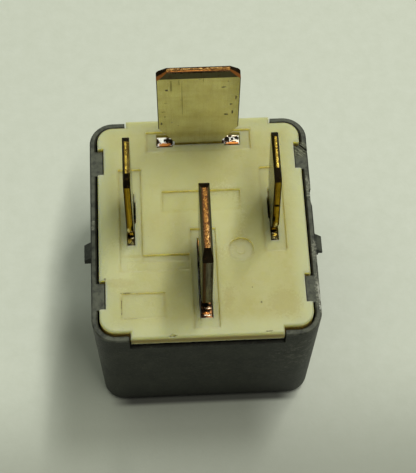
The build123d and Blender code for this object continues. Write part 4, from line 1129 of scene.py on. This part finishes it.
def floor_paper():
    """Plain pale paper, darker before the relay, as in the photograph: its shade and shadow are
    painted on it.
    """
    material, graph, shader = finish_material("pale floor", Metallic=0.0, IOR=1.4)
    place = graph.place()
    sides = graph.split(place)
    x, y = sides["X"], sides["Y"]
    tone = graph.noise(place, 0.5, 5.0, 0.75)
    colour = graph.mix(tone, (0.54, 0.575, 0.475), (0.645, 0.68, 0.59))
    # Painted shade: the paper darkens towards the front, near the relay
    front_shade = graph.step(graph.plus(y, x, -0.03), -8.0, -28.0)
    front_shade = graph.math("MULTIPLY", front_shade, graph.step(y, -110.0, -50.0))
    colour = graph.over(colour, (0.29, 0.305, 0.25), front_shade, 0.85)
    # Painted shadow: the relay's soft shadow lies before it and on its left, and a dark contact
    # shadow along the foot of its front wall
    patch = graph.product(graph.between(x, -19.2, 7.2, 3.0), graph.between(y, -21.2, -2.0, 3.5))
    colour = graph.over(colour, (0.28, 0.295, 0.235), patch, 0.75)
    contact = graph.product(
        graph.between(x, -10.8, 10.4, 1.6), graph.between(y, -14.65, -9.0, 0.35)
    )
    colour = graph.over(colour, (0.03, 0.03, 0.025), contact, 0.85)
    graph.feed(shader["Base Color"], colour)
    shader["Roughness"].default_value = 0.8
    graph.feed(shader["Normal"], graph.bump(graph.noise(place, 1.5, 4.0, 0.6), 0.05, 0.5))
    return material


def lay_floor():
    mesh = bpy.data.meshes.new("floor")
    square = [(x * FLOOR_HALF, y * FLOOR_HALF, 0.0) for x, y in ((-1, -1), (1, -1), (1, 1), (-1, 1))]
    mesh.from_pydata(square, [], [(0, 1, 2, 3)])
    floor = bpy.data.objects.new("floor", mesh)
    scene.collection.objects.link(floor)
    floor.location.z = -FLOOR_GAP * MM
    mesh.materials.append(floor_paper())


def long_light(name, near, far, power):
    """A long narrow lamp from one point to another, at one height, which faces the relay."""
    near = Vector((*near, LAMP_HEIGHT))
    far = Vector((*far, LAMP_HEIGHT))
    lamp = bpy.data.lights.new(name, "AREA")
    lamp.shape = "RECTANGLE"
    lamp.size = LAMP_WIDTH
    lamp.size_y = (far - near).length
    lamp.energy = power
    lamp.color = WARM_WHITE
    made = bpy.data.objects.new(name, lamp)
    scene.collection.objects.link(made)
    middle = (near + far) / 2
    up = (far - near).normalized()
    side = up.cross(middle - Vector(LIT_POINT)).normalized()
    turn = Matrix((side, up, side.cross(up))).transposed().to_4x4()
    made.matrix_world = Matrix.Translation(middle) @ turn
    return made


def light_scene():
    long_light("near_lamp", near=(0.075, -0.215), far=(0.145, 0.06), power=1.08)
    long_light("far_lamp", near=(0.142, 0.07), far=(0.165, 0.235), power=0.74)
    world = bpy.data.worlds.new("room")
    scene.world = world
    world.use_nodes = True
    world.node_tree.nodes.clear()
    graph = Graph(world.node_tree)
    toward = graph.node("ShaderNodeTexCoord").outputs["Generated"]
    behind = graph.step(graph.split(toward)["Y"], -0.1, 0.9)
    colour = graph.mix(behind, (0.045, 0.047, 0.044), (0.22, 0.23, 0.22))
    ceiling = graph.step(graph.vector("DOT_PRODUCT", toward, CEILING_WAY), 0.42, 0.98)
    colour = graph.mix(ceiling, colour, (0.84, 0.88, 0.79))
    # The camera sees plain pale paper above the floor
    seen = graph.node("ShaderNodeLightPath").outputs["Is Camera Ray"]
    colour = graph.mix(seen, colour, (0.56, 0.59, 0.50))
    background = graph.node("ShaderNodeBackground", {"Color": colour, "Strength": 1.0})
    output = graph.node("ShaderNodeOutputWorld")
    graph.feed(output.inputs["Surface"], background.outputs[0])


# The photograph's viewing angle
CAMERA_AZIMUTH = -3.759       # degrees, about the part's Z
CAMERA_ELEVATION = 64.024
CAMERA_ROLL = 1.171
CAMERA_DISTANCE = 157.2161    # millimetres, from the point that it aims at
CAMERA_AIM = (0.6306, -1.022, 20.0)
FOCAL_LENGTH = 1332.055       # in pixels of the photograph
PHOTO_HEIGHT = 473.0          # pixels, the long side
SENSOR = 36.0                 # millimetres


def set_camera():
    azimuth, elevation, roll = (
        math.radians(angle) for angle in (CAMERA_AZIMUTH, CAMERA_ELEVATION, CAMERA_ROLL)
    )
    back = Vector(
        (
            math.sin(azimuth) * math.cos(elevation),
            -math.cos(azimuth) * math.cos(elevation),
            math.sin(elevation),
        )
    )
    right = Vector((math.cos(azimuth), math.sin(azimuth), 0.0))
    up = back.cross(right)
    across = right * math.cos(roll) + up * math.sin(roll)
    upright = up * math.cos(roll) - right * math.sin(roll)
    data = bpy.data.cameras.new("camera")
    data.sensor_width = SENSOR
    data.lens = FOCAL_LENGTH * SENSOR / PHOTO_HEIGHT
    data.clip_start = 0.005
    data.clip_end = 10.0
    camera = bpy.data.objects.new("camera", data)
    scene.collection.objects.link(camera)
    turn = Matrix((across, upright, back)).transposed().to_4x4()
    place = (Vector(CAMERA_AIM) + back * CAMERA_DISTANCE) * MM
    camera.matrix_world = Matrix.Translation(place) @ turn
    scene.camera = camera


scene.view_settings.view_transform = "Standard"
set_camera()
lay_floor()
light_scene()
dress_model()
